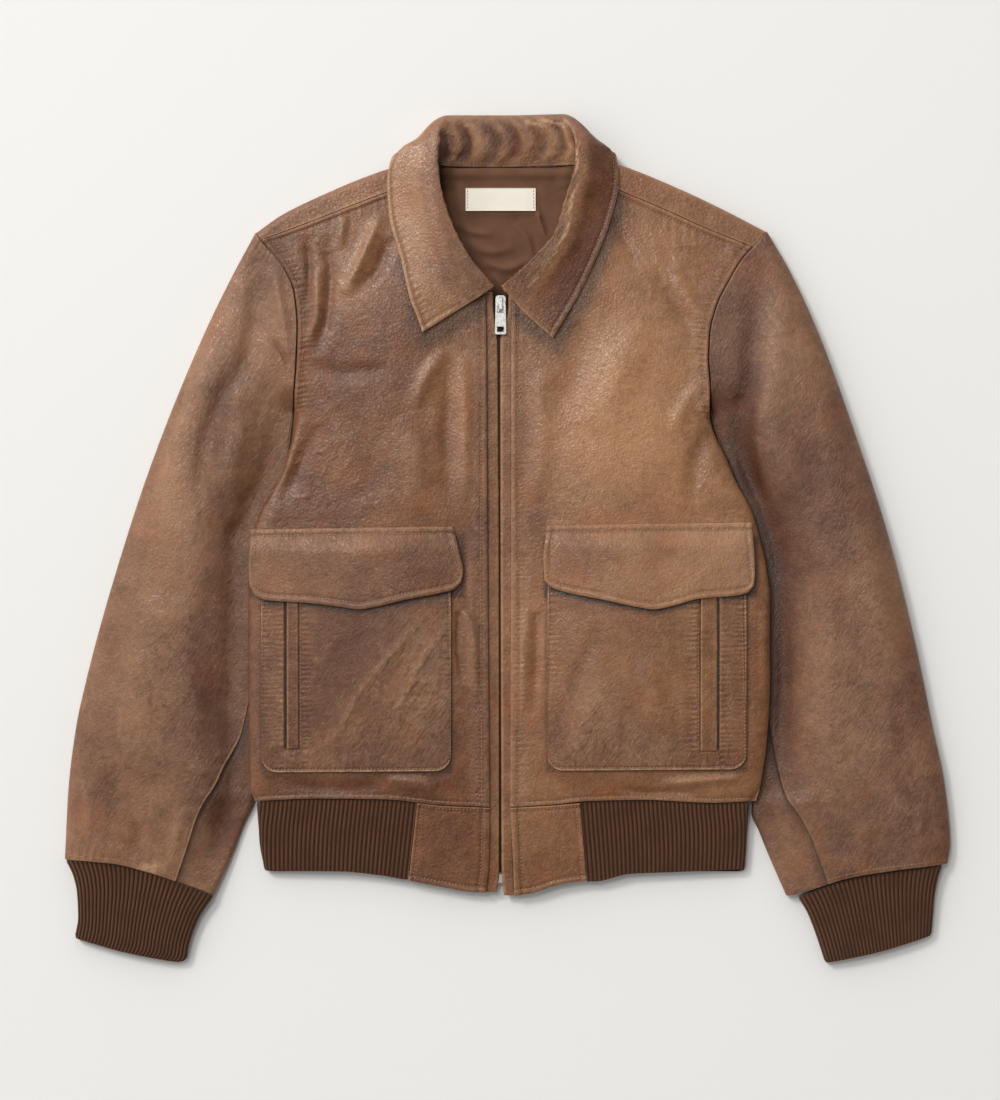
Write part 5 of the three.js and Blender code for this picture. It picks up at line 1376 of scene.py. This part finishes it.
def strip_plan(line_a, line_b, high, low):
    """The plan of a strip along the closure, between two lines x(y)."""
    def plan(u, v):
        y = mix(high, low, v)
        return np.stack([mix(line_a(y), line_b(y), u), y], -1)
    return plan


def make_guard(side):
    """The folded leather edge beside the zip: a soft roll, tucked under the front's edge."""
    def outer_line(y):
        return side.front_x(y) + side.sign * GUARD_TUCK
    plan = strip_plan(side.guard_x, outer_line, 221, side.front_edge[0][0])
    grid = layer_grid(plan, fractions(15, 1.0), fractions(540, 2.2), lambda x, y, u, v: full_height(x, y) - GUARD_DEPTH)
    edges = borders(grid)
    relief = -1.1 * (1 - round_off(edges.first / 2.6)) + 0.18 * soft_noise(grid[..., 0], grid[..., 1], 15, 95)
    relief += 0.12 * puckers(edges.start, edges.first - 3, 1.0, 5, 6.0, 96)
    relief = np.minimum(relief, 0.25)
    # A pale line on the rolled edge (wear and painted highlight), and painted shade where the guard runs under the
    # front's edge.
    piece, *_ = add_leather(f"zip_guard_{side.name}_leather", grid, relief, BODY_LEATHER, "body_leather",
                            [f"zip_guard_{side.name}"], TRIM, tone=0.1,
                            wear=0.25 * np.exp(-(edges.first - 1.4) ** 2) - 0.8 * ease((edges.first - 8.5) / 2))
    return piece


def make_tape(side):
    """The woven zip tape under a guard."""
    widen = table([(150, 0), (198, 3.2), (222, 3.2)])
    plan = strip_plan(lambda y: zip_line(y) + side.sign * (CHAIN_WIDTH / 2 + SEAM + widen(y)),
                      lambda y: zip_line(y) + side.sign * (CHAIN_WIDTH / 2 + TAPE_WIDTH), 219, -301.5)
    grid = layer_grid(plan, np.linspace(0, 1, 9), np.linspace(0, 1, 180),
                      lambda x, y, u, v: full_height(x, y) - CHAIN_DEPTH - CHAIN_THICK / 2 + TAPE_CLOTH)
    inner = grid - np.array([0, 0, TAPE_CLOTH])
    return add_wall(f"zip_tape_{side.name}_cloth", grid, inner, TAPE, "zip_tape", [f"zip_tape_{side.name}"], keep=4)


def make_chain():
    """The closed zip: teeth from the two sides in turn, each a waisted block of eight corners a ring,
    three rings high, widest in its middle."""
    pitch = 1.55
    y = np.arange(-300.5, SLIDER_FOOT - 1.2, pitch)
    way = np.where(np.arange(len(y)) % 2, 1.0, -1.0)
    top = full_height(zip_line(y), y) - CHAIN_DEPTH
    outline = np.array([(-2.3, -0.55), (-0.4, -0.62), (0.9, -0.5), (1.25, 0), (0.9, 0.5), (-0.4, 0.62), (-2.3, 0.55)])
    levels = np.array([-1.0, -0.62, 0.62, 1.0]) * CHAIN_THICK / 2
    swell = np.array([0.8, 1.0, 1.0, 0.8])
    ring = len(outline)
    model = np.concatenate([np.column_stack([outline * s, np.full(ring, z)]) for s, z in zip(swell, levels)])
    points = np.repeat(model[None], len(y), 0)
    points[..., :2] *= -way[:, None, None]
    points += np.stack([zip_line(y), y, top - CHAIN_THICK / 2], -1)[:, None]
    around = np.arange(ring)
    onward = (around + 1) % ring
    quads = np.concatenate([np.stack([k * ring + around, k * ring + onward, (k + 1) * ring + onward,
                                      (k + 1) * ring + around], -1) for k in range(3)])
    shift = np.arange(len(y))[:, None, None] * len(model)
    faces = (quads + shift).reshape(-1, 4).tolist()
    faces += (around[::-1] + shift[:, 0]).tolist() + (3 * ring + around + shift[:, 0]).tolist()
    return add_piece("zip_teeth", points.reshape(-1, 3), faces, TEETH_METAL, ["zip_chain"], smooth=False)


# ---- collar ----
STATIONS = [
    (True, [(-14, 222, 1.6), (-11.2, 225, 5.2), (-18, 220, 4.6), (-40, 206, 2.8), (-75, 184, 2)]),
    (True, [(-28, 229, 1.8), (-20, 235, 8), (-28, 230, 6.8), (-49, 216, 3.4), (-79, 196, 2)]),
    (True, [(-46, 246, 2.2), (-34, 253, 9.5), (-42, 248, 8.2), (-63, 231, 3.8), (-86, 214, 2)]),
    (True, [(-63, 276, 2.6), (-49, 282, 11), (-58, 278, 9.8), (-77, 266, 4.6), (-95, 252, 2.1)]),
    (True, [(-72, 304, 3), (-58, 310, 12), (-68, 308, 10.8), (-87, 300, 5), (-105, 290, 2.2)]),
    (True, [(-74, 322, 3), (-61, 332, 12), (-71, 330, 11.2), (-92, 325, 6), (-107, 319, 2.3)]),
    (False, [(-70, 334, 15), (-61, 351, 23), (-73, 352, 21.5), (-90, 350, 17), (-101.5, 342, 12.5)]),
    (False, [(-63, 336, 13), (-60, 366, 19.5), (-70, 367, 16), (-80, 359, 6.5), (-68, 349, 1.5)]),
    (False, [(-50, 335, 7), (-51, 375, 14), (-53, 380, 8), (-51, 374, 2), (-51, 340, 1.4)]),
    (False, [(-1, 335, 4.4), (-1, 375, 13.5), (-1, 380, 7.5), (-1, 374, 1.8), (-1, 338, 1.4)]),
    (False, [(50, 336, 7), (51, 377, 14), (52, 381, 8), (51, 375, 2), (51, 340, 1.4)]),
    (False, [(63, 336, 13), (60, 366, 19.5), (68, 369, 16), (80, 359, 6.5), (68, 349, 1.5)]),
    (False, [(70, 334, 15), (64, 351, 23), (76, 352, 21.5), (89, 350, 17), (98.5, 343.5, 12.5)]),
    (True, [(74, 322, 3), (61, 330, 12), (71, 329, 11.2), (89, 324, 6), (101, 319, 2.3)]),
    (True, [(67, 300, 3), (54, 305, 12), (63, 302, 10.8), (77, 296, 5), (94, 286, 2.2)]),
    (True, [(54, 268, 2.6), (44, 273, 10.5), (51, 269, 9.4), (65, 258, 4.6), (79, 247, 2.1)]),
    (True, [(36, 245, 2.2), (26, 252, 9.5), (33, 247, 8.2), (48, 231, 3.8), (63, 214, 2)]),
    (True, [(12.6, 227, 1.8), (5.9, 233, 7.5), (12.6, 227, 6.4), (27, 212, 3.4), (48, 189, 2)]),
    (True, [(-1.4, 221, 1.6), (-3.8, 225, 5), (0.9, 219, 4.4), (15.3, 203, 2.8), (42, 179, 2)])]
STAND_LEAN = 0.22


def make_collar():
    """The collar: six rails run round the neck through its stations, and at each place along them a
    smooth profile goes from the neck seam up the stand, over the roll and out along the leaf. The
    outside lies half the thickness one way and the inside half the other."""
    placed = []
    for on_front, points in STATIONS:
        p = np.array(points, float)
        if on_front:
            p[:, 2] += body_top(p[:, 0], p[:, 1])
        middle = mix(p[0], p[1], 0.5) + STAND_LEAN * (p[1] - p[2])
        placed.append(np.vstack([p[:1], middle[None], p[1:]]))
    placed = np.array(placed)
    v = fractions(690, 2.0)
    rails = np.stack([track(placed[:, k])(v) for k in range(6)], 1)
    u = fractions(62, 1.15)
    middle = np.array([track(rail)(u) for rail in rails])
    normals = normals_of(middle)
    edges = borders(middle)
    x, y = middle[..., 0], middle[..., 1]
    leaf = ease((u[None] - 0.5) / 0.12) + 0 * x
    stand = 1 - ease((u[None] - 0.34) / 0.12) + 0 * x
    roll = np.exp(-((u[None] - 0.47) / 0.06) ** 2) + 0 * x
    relief = 0.3 * soft_noise(edges.start, edges.first, 19, 101) * leaf
    across = edges.start - 0.55 * edges.first
    fold = np.sin(2 * np.pi * (across / 21 + 0.5 * soft_noise(across, 0 * x, 27, 103)))
    fold = fold * (0.75 + 0.5 * soft_noise(across, edges.first, 15, 105)) + 0.5 * soft_noise(across / 1.6, edges.first / 3, 4, 107)
    fold *= stand * ease((y - 318) / 16)
    relief += ease((edges.first - 3) / 6) * (1.1 * fold + 0.4 * stand * soft_noise(across / 2.5, edges.first, 5, 102))
    relief += leaf * (sewn_edge(edges.last, 5.0, 0.5, 0.55) + puckers(edges.start, edges.last - 7, 0.3, 5, 6, 104))
    ends = np.minimum(edges.start, edges.end)
    relief += sewn_edge(ends, 5.0, 0.4, 0.5) * leaf
    near = np.minimum(ends, np.minimum(edges.first, edges.last))
    half = COLLAR_CLOTH / 2
    outer = middle + normals * (half + relief - cut_edge(near, 1.0))[..., None]
    inner = middle - normals * half
    outer[..., 2] = np.maximum(outer[..., 2], 0.3)
    inner[..., 2] = np.maximum(inner[..., 2], 0.2)
    dark_side = ease((x + 40) / 90) * leaf
    # Tone: paler on the leaf and darker beyond x = -40; painted light on the stand's folds (paler ridges, darker
    # troughs) and painted shade in the relief's troughs.
    tone = 0.7 * leaf - 1.4 * dark_side - 0.15 * stand - 0.35 * np.clip(-relief, 0, 1) + 0.9 * fold
    patchy = ease((soft_noise(edges.start, edges.first, 6, 106) + 0.25) / 0.5)
    scuffs = ease((x - 5) / 20) * np.exp(-((u[None] - 0.415) / 0.03) ** 2) * patchy
    # Painted shadow in the stand's corner under the collar's roll.
    corner = np.exp(-((x + 64) / 12) ** 2 - ((y - 350) / 22) ** 2) * stand
    # Pale edges (wear and a painted highlight on the rounded edge), roll, scuffs and ridges; darker stitch troughs; the
    # painted corner shadow.
    wear = (0.45 * np.exp(-(near / 1.3) ** 2) + 0.1 * roll + 0.85 * scuffs + 0.12 * np.clip(relief, 0, 1)
            + leaf * stitch_trough_darkening(edges.last, 5.0) + (y > 300) * stitch_trough_darkening(edges.first, 3.6) - 0.8 * corner)
    piece = add_wall("collar_leather", outer, inner, TRIM_LEATHER, "trim_leather", ["collar"], keep=2,
                     tone=tone, wear=np.clip(wear, -1, 1), crinkle=0.8 * stand)
    points, up = line_at(outer, normals, edges.last, 5.0)
    sew(points, up, start=6, end=6)
    points, up = line_at(outer, normals, edges.first, 3.6)
    seen = points[:, 1] > 330
    sew(points[seen], up[seen])
    for distance in (edges.start, edges.end):
        points, up = line_at(outer, normals, distance, 5.0, False)
        seen = u > 0.6
        sew(points[seen], up[seen], end=6)
    return piece


# ---- neck lining and label ----
LINING_WEST = table([(203, -26), (222, -36), (240, -48), (270, -62), (300, -70), (320, -66), (334.5, -62)])
LINING_EAST = table([(203, 18), (222, 26), (240, 42), (270, 56), (300, 64), (320, 66), (334.5, 62)])
LINING_MARKS = [([(26, 304), (29, 292), (36, 273)], 1.3, 1.5), ([(29, 304), (33, 290), (39, 274)], 1.8, -0.5),
                ([(-36, 268), (-14, 258), (8, 262)], 5, 1.0), ([(-22, 250), (0, 243), (22, 252)], 5, 1.1),
                ([(-44, 284), (-30, 276), (-12, 274)], 4, 0.8), ([(8, 284), (20, 268), (24, 248)], 4, 0.9),
                ([(-12, 240), (-4, 228), (2, 216)], 4, 0.8)]


def lining_height(x, y):
    """The lining lies on the back panel and climbs over its turned edge at the nape and shoulders."""
    corner = 3 * ease((np.abs(x) - 42) / 14) * ease((y - 312) / 10)
    return LEATHER + LAY + 2.8 * ease((y - 321) / 8) - 2.4 * ease((y - 332.6) / 1.9) + corner


def make_lining():
    """The lining where it shows inside the neck, with a pleat and soft folds beside the label."""
    def plan(u, v):
        y = mix(334.5, 203, v)
        return np.stack([mix(LINING_WEST(y), LINING_EAST(y), u), y], -1)
    grid = layer_grid(plan, np.linspace(0, 1, 90), np.linspace(0, 1, 92),
                      lambda x, y, u, v: lining_height(x, y) + LINING_CLOTH)
    x, y = grid[..., 0], grid[..., 1]
    edges = borders(grid)
    near = np.minimum(np.minimum(edges.first, edges.last), np.minimum(edges.start, edges.end))
    free = ease(near / 8) * (1 - inside_box(x, y, -38, 28, 294, 318, 3))
    relief = free * np.maximum(2.8 * creases(x, y, LINING_MARKS) + 0.6 * soft_noise(x, y, 16, 121), -0.35)
    outer = grid + np.stack([0 * x, 0 * x, relief], -1)
    inner = grid + np.stack([0 * x, 0 * x, np.maximum(relief, 0) - LINING_CLOTH], -1)
    # Painted shade: strongest along the west edge under the collar's roll, also along the east edge, towards the lower
    # end, in the crease troughs and just below the label.
    shade = 0.75 * np.exp(-(edges.first / 13) ** 2) + 0.3 * np.exp(-(edges.last / 7) ** 2) + 0.35 * ease((250 - y) / 35)
    shade += 0.6 * np.clip(-creases(x, y, LINING_MARKS), 0, 1) + 0.25 * np.exp(-((y - 291) / 3) ** 2) * (np.abs(x + 5) < 31)
    return add_wall("neck_lining_cloth", outer, inner, LINING, "lining", ["lining_neck"], keep=3,
                    shade=np.clip(shade, 0, 0.9))


def make_label():
    """The blank label, sewn down at both its ends, a little loose between them."""
    def plan(u, v):
        return np.stack([mix(-36.6, 26.6, u), mix(316, 295.4, v)], -1)
    grid = layer_grid(plan, np.linspace(0, 1, 60), np.linspace(0, 1, 24),
                      lambda x, y, u, v: lining_height(x, y) + 2 * LINING_CLOTH + LAY)
    x, y = grid[..., 0], grid[..., 1]
    ends = np.minimum(x + 36.6, 26.6 - x)
    relief = 0.35 * ease((ends - 2) / 10) * (1 + 0.5 * soft_noise(x, y, 12, 131))
    outer = grid + np.stack([0 * x, 0 * x, relief - cut_edge(ends, 0.4)], -1)
    inner = grid + np.stack([0 * x, 0 * x, 0.6 * relief - LINING_CLOTH], -1)
    piece = add_wall("label_cloth", outer, inner, LABEL, "label_cloth", ["label"], keep=3)
    for x_end in (-34.8, 24.8):
        y_line = np.linspace(314.6, 296.8, 12)
        sew(np.stack([0 * y_line + x_end, y_line, lining_height(x_end, y_line) + 2 * LINING_CLOTH + LAY], -1), pitch=2.6)
    return piece


# ---- pockets ----
def pocket_shape(side):
    pocket = side.pocket
    width = abs(pocket.outer - pocket.inner)

    def reach(u):
        """Bottom edge: level with a slight slant, rounded up at both corners."""
        d = np.minimum(u, 1 - u) * width
        drop = np.maximum(0, POCKET_CORNER - d)
        corner = POCKET_CORNER - np.sqrt(np.maximum(POCKET_CORNER ** 2 - drop ** 2, 0))
        return pocket.bottom + pocket.slant * (u - 0.5) + corner

    def plan(u, v):
        return np.stack([mix(pocket.outer, pocket.inner, u), mix(pocket.top, reach(u), v)], -1)

    def lift(u, v):
        return LAY + POCKET_PUFF * np.sin(np.pi * u) * np.cos(v * np.pi / 2)

    def top_at(x, y):
        u = np.clip((x - pocket.outer) / (pocket.inner - pocket.outer), 0, 1)
        v = np.clip((pocket.top - y) / (pocket.top - reach(u)), 0, 1)
        return body_top(x, y) + TRIM + lift(u, v)

    return SimpleNamespace(plan=plan, lift=lift, top_at=top_at)


def flap_edge(side, x):
    """Lower edge of a flap, y at x."""
    west, east = sorted((side.flap_outer[0][1], side.flap_inner[0][1]))
    return table(side.flap_end)((x - west) / (east - west))


def make_pocket(side):
    """A patch pocket: the body's top surface lifted by a puff across it, with bundles of crinkles and
    a sewn, gathered edge. A groove beside its welt makes the entry: its outer lip stands up."""
    shape, welt = pocket_shape(side), side.welt
    u, v = fractions(170, 1.2), fractions(192, 0.95)
    grid = layer_grid(shape.plan, u, v, lambda x, y, u, v: body_top(x, y) + shape.lift(u, v) + TRIM)
    x, y = grid[..., 0], grid[..., 1]
    edges = borders(grid)
    seed = 141 if side is right else 151
    above_edge = y - flap_edge(side, x)
    shown = 1 - ease((above_edge + 3) / 6)
    past, inward = side.sign * (x - welt.outer), side.sign * (welt.inner - x)
    beside = ease((y - welt.bottom + 1.5) / 3)
    slit = np.exp(-((past - 1.1) / 1.0) ** 4) * beside
    foot = np.exp(-((welt.bottom - y - 0.7) / 0.7) ** 2) * (past < 1.4) * (inward < 1.4)
    seam = np.exp(-((inward - 0.5) / 0.6) ** 2) * beside
    on_welt = inside_box(x, y, *sorted((welt.outer, welt.inner)), welt.bottom, 0, 5)
    free = ease(np.minimum(np.minimum(edges.first, edges.last), edges.end) / 9) * (1 - on_welt)
    relief = free * (creases(x, y, side.pocket_creases) + cloth_swell(x, y, seed, 0.9))
    bundle = pale_patches(x, y, [(-74, -140, 20, 60, 1.0), (-104, -150, 40, 44, 0.5), (-150, -185, 34, 14, 0.6)]
                          if side is right else [(70, -175, 26, 30, 0.9), (110, -190, 40, 14, 0.6)])
    slant = 54 if side is right else 78
    relief += free * bundle * (0.75 * crinkle(x, y, 3.6, 9.0, slant, seed + 3) - 0.2
                               + 0.5 * crinkle(x, y, 2.8, 7.0, slant + 13, seed + 5))
    strip = ease((past - 2) / 2)
    relief += strip * (puckers(edges.start, edges.first - 4, 0.8, 6, 4.3, seed + 8)
                       + puckers(edges.start, past - 5, 0.4, 5, 4.8, seed + 9)) * ease(edges.first / 2)
    relief += ease((inward - 2.5) / 2) * puckers(edges.start, inward - 5, 0.65, 5, 4.6, seed + 10)
    at_foot = np.exp(-((x - welt.outer) / 15) ** 2 - ((y - welt.bottom + 5) / 8) ** 2) * (1 - on_welt)
    relief += at_foot * (1.0 * crinkle(x, y, 4, 2.0, 100, seed + 6) - 0.1)
    for distance, run in ((edges.last, edges.start), (edges.end, edges.first)):
        relief += puckers(run, distance - 4, 0.34, 6, 4.8, seed + 7) * ease(distance / 2)
    for distance in (edges.first, edges.last, edges.end):
        relief += sewn_edge(distance, 2.6, 0.3, 0.5)
    relief += 1.1 * ease((past - 2.0) / 0.9) * np.exp(-np.maximum(past - 3.2, 0) / 8) * beside
    relief += 0.8 * ease((inward - 0.9) / 1.0) * np.exp(-np.maximum(inward - 2, 0) / 5) * beside
    relief -= 0.9 * np.maximum(slit, 0.4 * foot) + 0.3 * seam + 0.4 * np.exp(-((inward - 2.4) / 0.8) ** 2) * beside
    relief = np.where((past < 0.3) & (inward < 0.3) & (y > welt.bottom - 0.3), np.minimum(relief, 0.0), relief)
    relief = mix(np.clip(relief, -0.3, 0.1), relief, shown)
    tones = ([(-76, -150, 34, 46, 0.5), (-150, -140, 40, 50, -0.1)] if side is right
             else [(90, -150, 40, 50, 0.35), (190, -120, 24, 60, -0.25)])
    # Painted shade in the entry slit, its foot and the welt seam, a painted shadow below the flap's edge, and darker
    # stitch troughs.
    grime_and_painted_light = (-0.97 * np.maximum(slit, 0.5 * foot) - 0.6 * seam - 0.92 * np.exp(-(np.minimum(above_edge, 0) / 4.8) ** 2)
             + stitch_trough_darkening(np.minimum(np.minimum(edges.first, edges.last), edges.end), 2.6, 0.8)
             + stitch_trough_darkening(inward, 2.4) * beside)
    # A pale rim at the pocket's edge: wear and painted highlight.
    rim = np.minimum(np.minimum(edges.first, edges.last), edges.end)
    grime_and_painted_light += (0.5 if side is right else 0.35) * np.exp(-((rim - 0.8) / 0.9) ** 2) * shown
    piece, outer, normals, edges = add_leather(
        f"pocket_{side.name}_patch", grid, relief, TRIM_LEATHER, "trim_leather", [f"pocket_{side.name}"], TRIM,
        tone=(-0.4 if side is right else -0.15) + pale_patches(x, y, tones), wear=grime_and_painted_light, edge_wear=0.6,
        crinkled=1.1 * bundle + (0.35 if side is right else 0.1))
    rows = [(edges.first, 2.6, True), (edges.last, 2.6, True), (edges.end, 2.6, False)]
    if side is left:
        rows.append((edges.first, 5.4, True))
    for distance, stop, across in rows:
        sew(*line_at(outer, normals, distance, stop, across), start=3, end=3)
    stitch_x = welt.inner - side.sign * 2.4
    stitch_y = np.linspace(float(flap_edge(side, stitch_x)), welt.bottom, 60)
    sew(np.stack([stitch_x + 0 * stitch_y, stitch_y, shape.top_at(stitch_x, stitch_y) + 0.25], -1))
    foot_x = np.linspace(welt.outer - side.sign, welt.inner, 12)
    foot_y = welt.bottom - 2.2 + 0 * foot_x
    sew(np.stack([foot_x, foot_y, shape.top_at(foot_x, foot_y) + 0.2], -1))
    return piece


def make_welt(side):
    """The strip beside the pocket's side entry: leather 1.1 mm thick that lies on the pocket, and goes
    on a little under the flap."""
    welt, thin, lay = side.welt, 1.1, 0.15
    shape = pocket_shape(side)
    top = float(flap_edge(side, mix(welt.outer, welt.inner, 0.5))) + 2

    def plan(u, v):
        return np.stack([mix(welt.outer, welt.inner, u), mix(top, welt.bottom, v)], -1)
    width = abs(welt.outer - welt.inner)
    grid = layer_grid(plan, fractions(width, 0.9), fractions(134, 1.4),
                      lambda x, y, u, v: shape.top_at(x, y) + lay + thin)
    x, y = grid[..., 0], grid[..., 1]
    edges = borders(grid)
    relief = np.minimum(0.3 * np.exp(-((edges.first - 1.6) / 1.2) ** 2) + puckers(edges.start, edges.last, 0.2, 5, 5, 161)
                        + 0.2 * soft_noise(x, y, 9, 162), 0.25)
    # A painted shadow of the flap at the welt's top end.
    piece, *_ = add_leather(
        f"pocket_welt_{side.name}_strip", grid, relief, TRIM_LEATHER, "trim_leather", [f"pocket_welt_{side.name}"],
        thin, tone=-0.4 if side is right else -0.2, wear=-0.7 * np.exp(-(edges.start / 5) ** 2), edge_wear=0.3)
    return piece


def make_flap(side):
    """A pocket flap: sewn flat along its top edge, and carried over the pocket below it, to a soft
    point. Its free edges are rolled and topstitched."""
    west, east = (side.flap_outer, side.flap_inner) if side is right else (side.flap_inner, side.flap_outer)
    west_x, east_x = table(west), table(east)
    seam, end = table(side.flap_seam), table(side.flap_end)

    def plan(u, v):
        seam_x = mix(side.flap_seam[0][0], side.flap_seam[1][0], u)
        y = mix(seam(seam_x), end(u), v)
        return np.stack([mix(west_x(y), east_x(y), u), y], -1)

    def height(x, y, u, v):
        edge = side.edge_x(y) - side.sign * SIDE_ROUND
        over = np.maximum(0, side.sign * (x - edge)) / SIDE_ROUND
        steady = body_top(side.sign * np.minimum(side.sign * x, side.sign * edge), y) - 3 * over * over
        rise = (TRIM + 0.9 + POCKET_PUFF * np.sin(np.pi * u)) * ease((seam(x) - y) / 22)
        return steady + LAY + rise + TRIM

    grid = layer_grid(plan, fractions(184, 1.5), fractions(62, 1.3), height)
    x, y = grid[..., 0], grid[..., 1]
    edges = borders(grid)
    seed = 171 if side is right else 175
    sides = np.minimum(edges.first, edges.last)
    relief = cloth_swell(x, y, seed, 0.7) * ease(np.minimum(sides, edges.start) / 8)
    hem = np.minimum(sides, edges.end)
    relief += sewn_edge(hem, 6.0, 0.65, 0.6) + sewn_edge(edges.start, 6.0, 0.5, 0.5)
    relief += puckers(edges.first, edges.end - 8, 0.2, 5, 6.0, seed + 3) * ease(edges.end / 4)
    relief += puckers(edges.first, edges.start - 7, 0.2, 5, 6.0, seed + 4) * ease(edges.start / 4)
    relief = np.maximum(relief, -0.9)
    tone = 0.0 if side is right else 0.5
    piece, outer, normals, edges = add_leather(
        f"flap_{side.name}_leather", grid, relief, TRIM_LEATHER, "trim_leather", [f"flap_{side.name}"], TRIM,
        tone=tone + pale_patches(x, y, [(side.sign * 60, -20, 30, 26, -0.3)]), edge_wear=0.16, crinkled=0.15,
        wear=stitch_trough_darkening(hem, 6.0) + stitch_trough_darkening(edges.start, 6.0))
    sew(*line_at(outer, normals, edges.start, 6.0, False), start=6, end=6)
    sew(*line_at(outer, normals, edges.first, 6.0), start=6, end=6)
    sew(*line_at(outer, normals, edges.last, 6.0), start=6, end=6)
    sew(*line_at(outer, normals, edges.end, 6.0, False), start=6, end=6)
    return piece


# ---- make every piece ----
made = {"back": make_back(), "waist": make_waist_rib(), "collar": make_collar(), "lining": make_lining(),
        "label": make_label()}
make_chain()
for side in SIDES:
    for name, maker in (("front", make_front), ("cuff", make_cuff), ("hem_panel", make_hem_panel),
                        ("guard", make_guard), ("tape", make_tape), ("pocket", make_pocket),
                        ("welt", make_welt), ("flap", make_flap)):
        made[f"{name}_{side.name}"] = maker(side)
    for part in ("upper", "under"):
        made[f"sleeve_{part}_{side.name}"] = make_sleeve(side, part)
add_thread("topstitching", THREAD)
for node in ("zip_slider", "zip_pull", "zip_box"):
    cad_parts[node].data.materials.clear()
    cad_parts[node].data.materials.append(METAL)


# ---- floor and light ----
def make_floor():
    """A plain pale floor, a little below the jacket's underside."""
    half, low = 9.0, -0.0004
    mesh = bpy.data.meshes.new("floor")
    mesh.from_pydata([(-half, -half, low), (half, -half, low), (half, half, low), (-half, half, low)], [], [(0, 1, 2, 3)])
    material, nodes, link, shader = new_material("pale_floor", roughness=0.9)
    shader.inputs["Base Color"].default_value = (0.86, 0.855, 0.84, 1)
    shader.inputs["Specular IOR Level"].default_value = 0.1
    mesh.materials.append(material)
    floor = bpy.data.objects.new("floor", mesh)
    bpy.context.scene.collection.objects.link(floor)


def make_light(name, place, size, power, colour):
    """A square soft light that faces the middle of the jacket."""
    data = bpy.data.lights.new(name, "AREA")
    data.size, data.energy, data.color = size, power, colour
    light = bpy.data.objects.new(name, data)
    light.location = place
    direction = -light.location
    light.rotation_euler = direction.to_track_quat("-Z", "Y").to_euler()
    bpy.context.scene.collection.objects.link(light)


def make_sky():
    """Soft light from all round: strength 1.14 - 0.84 z by the height z of its direction, and more towards
    the upper left of the floor, so that slopes shine and flat leather keeps its colour."""
    world = bpy.data.worlds.new("studio")
    world.use_nodes = True
    nodes, link = world.node_tree.nodes, world.node_tree.links.new
    direction = nodes.new("ShaderNodeSeparateXYZ")
    link(nodes.new("ShaderNodeTexCoord").outputs["Generated"], direction.inputs[0])
    x, y, z = direction.outputs
    level = math_node(nodes, link, "MULTIPLY_ADD", z, -0.84, 1.14)
    level = math_node(nodes, link, "ADD", level, math_node(nodes, link, "MULTIPLY", x, -0.54))
    level = math_node(nodes, link, "ADD", level, math_node(nodes, link, "MULTIPLY", y, 0.54))
    sky = nodes["Background"]
    link(math_node(nodes, link, "MAXIMUM", level, 0.05), sky.inputs["Strength"])
    sky.inputs["Color"].default_value = (0.99, 0.985, 0.97, 1)
    bpy.context.scene.world = world


make_floor()
make_light("key_light", (-3.2, 3.2, 4.4), 1.3, 150, (1.0, 0.985, 0.96))
make_light("gloss_light", (-1.1, 1.5, 4.4), 0.9, 40, (1.0, 0.985, 0.97))
make_sky()
bpy.context.scene.view_settings.view_transform = "Standard"
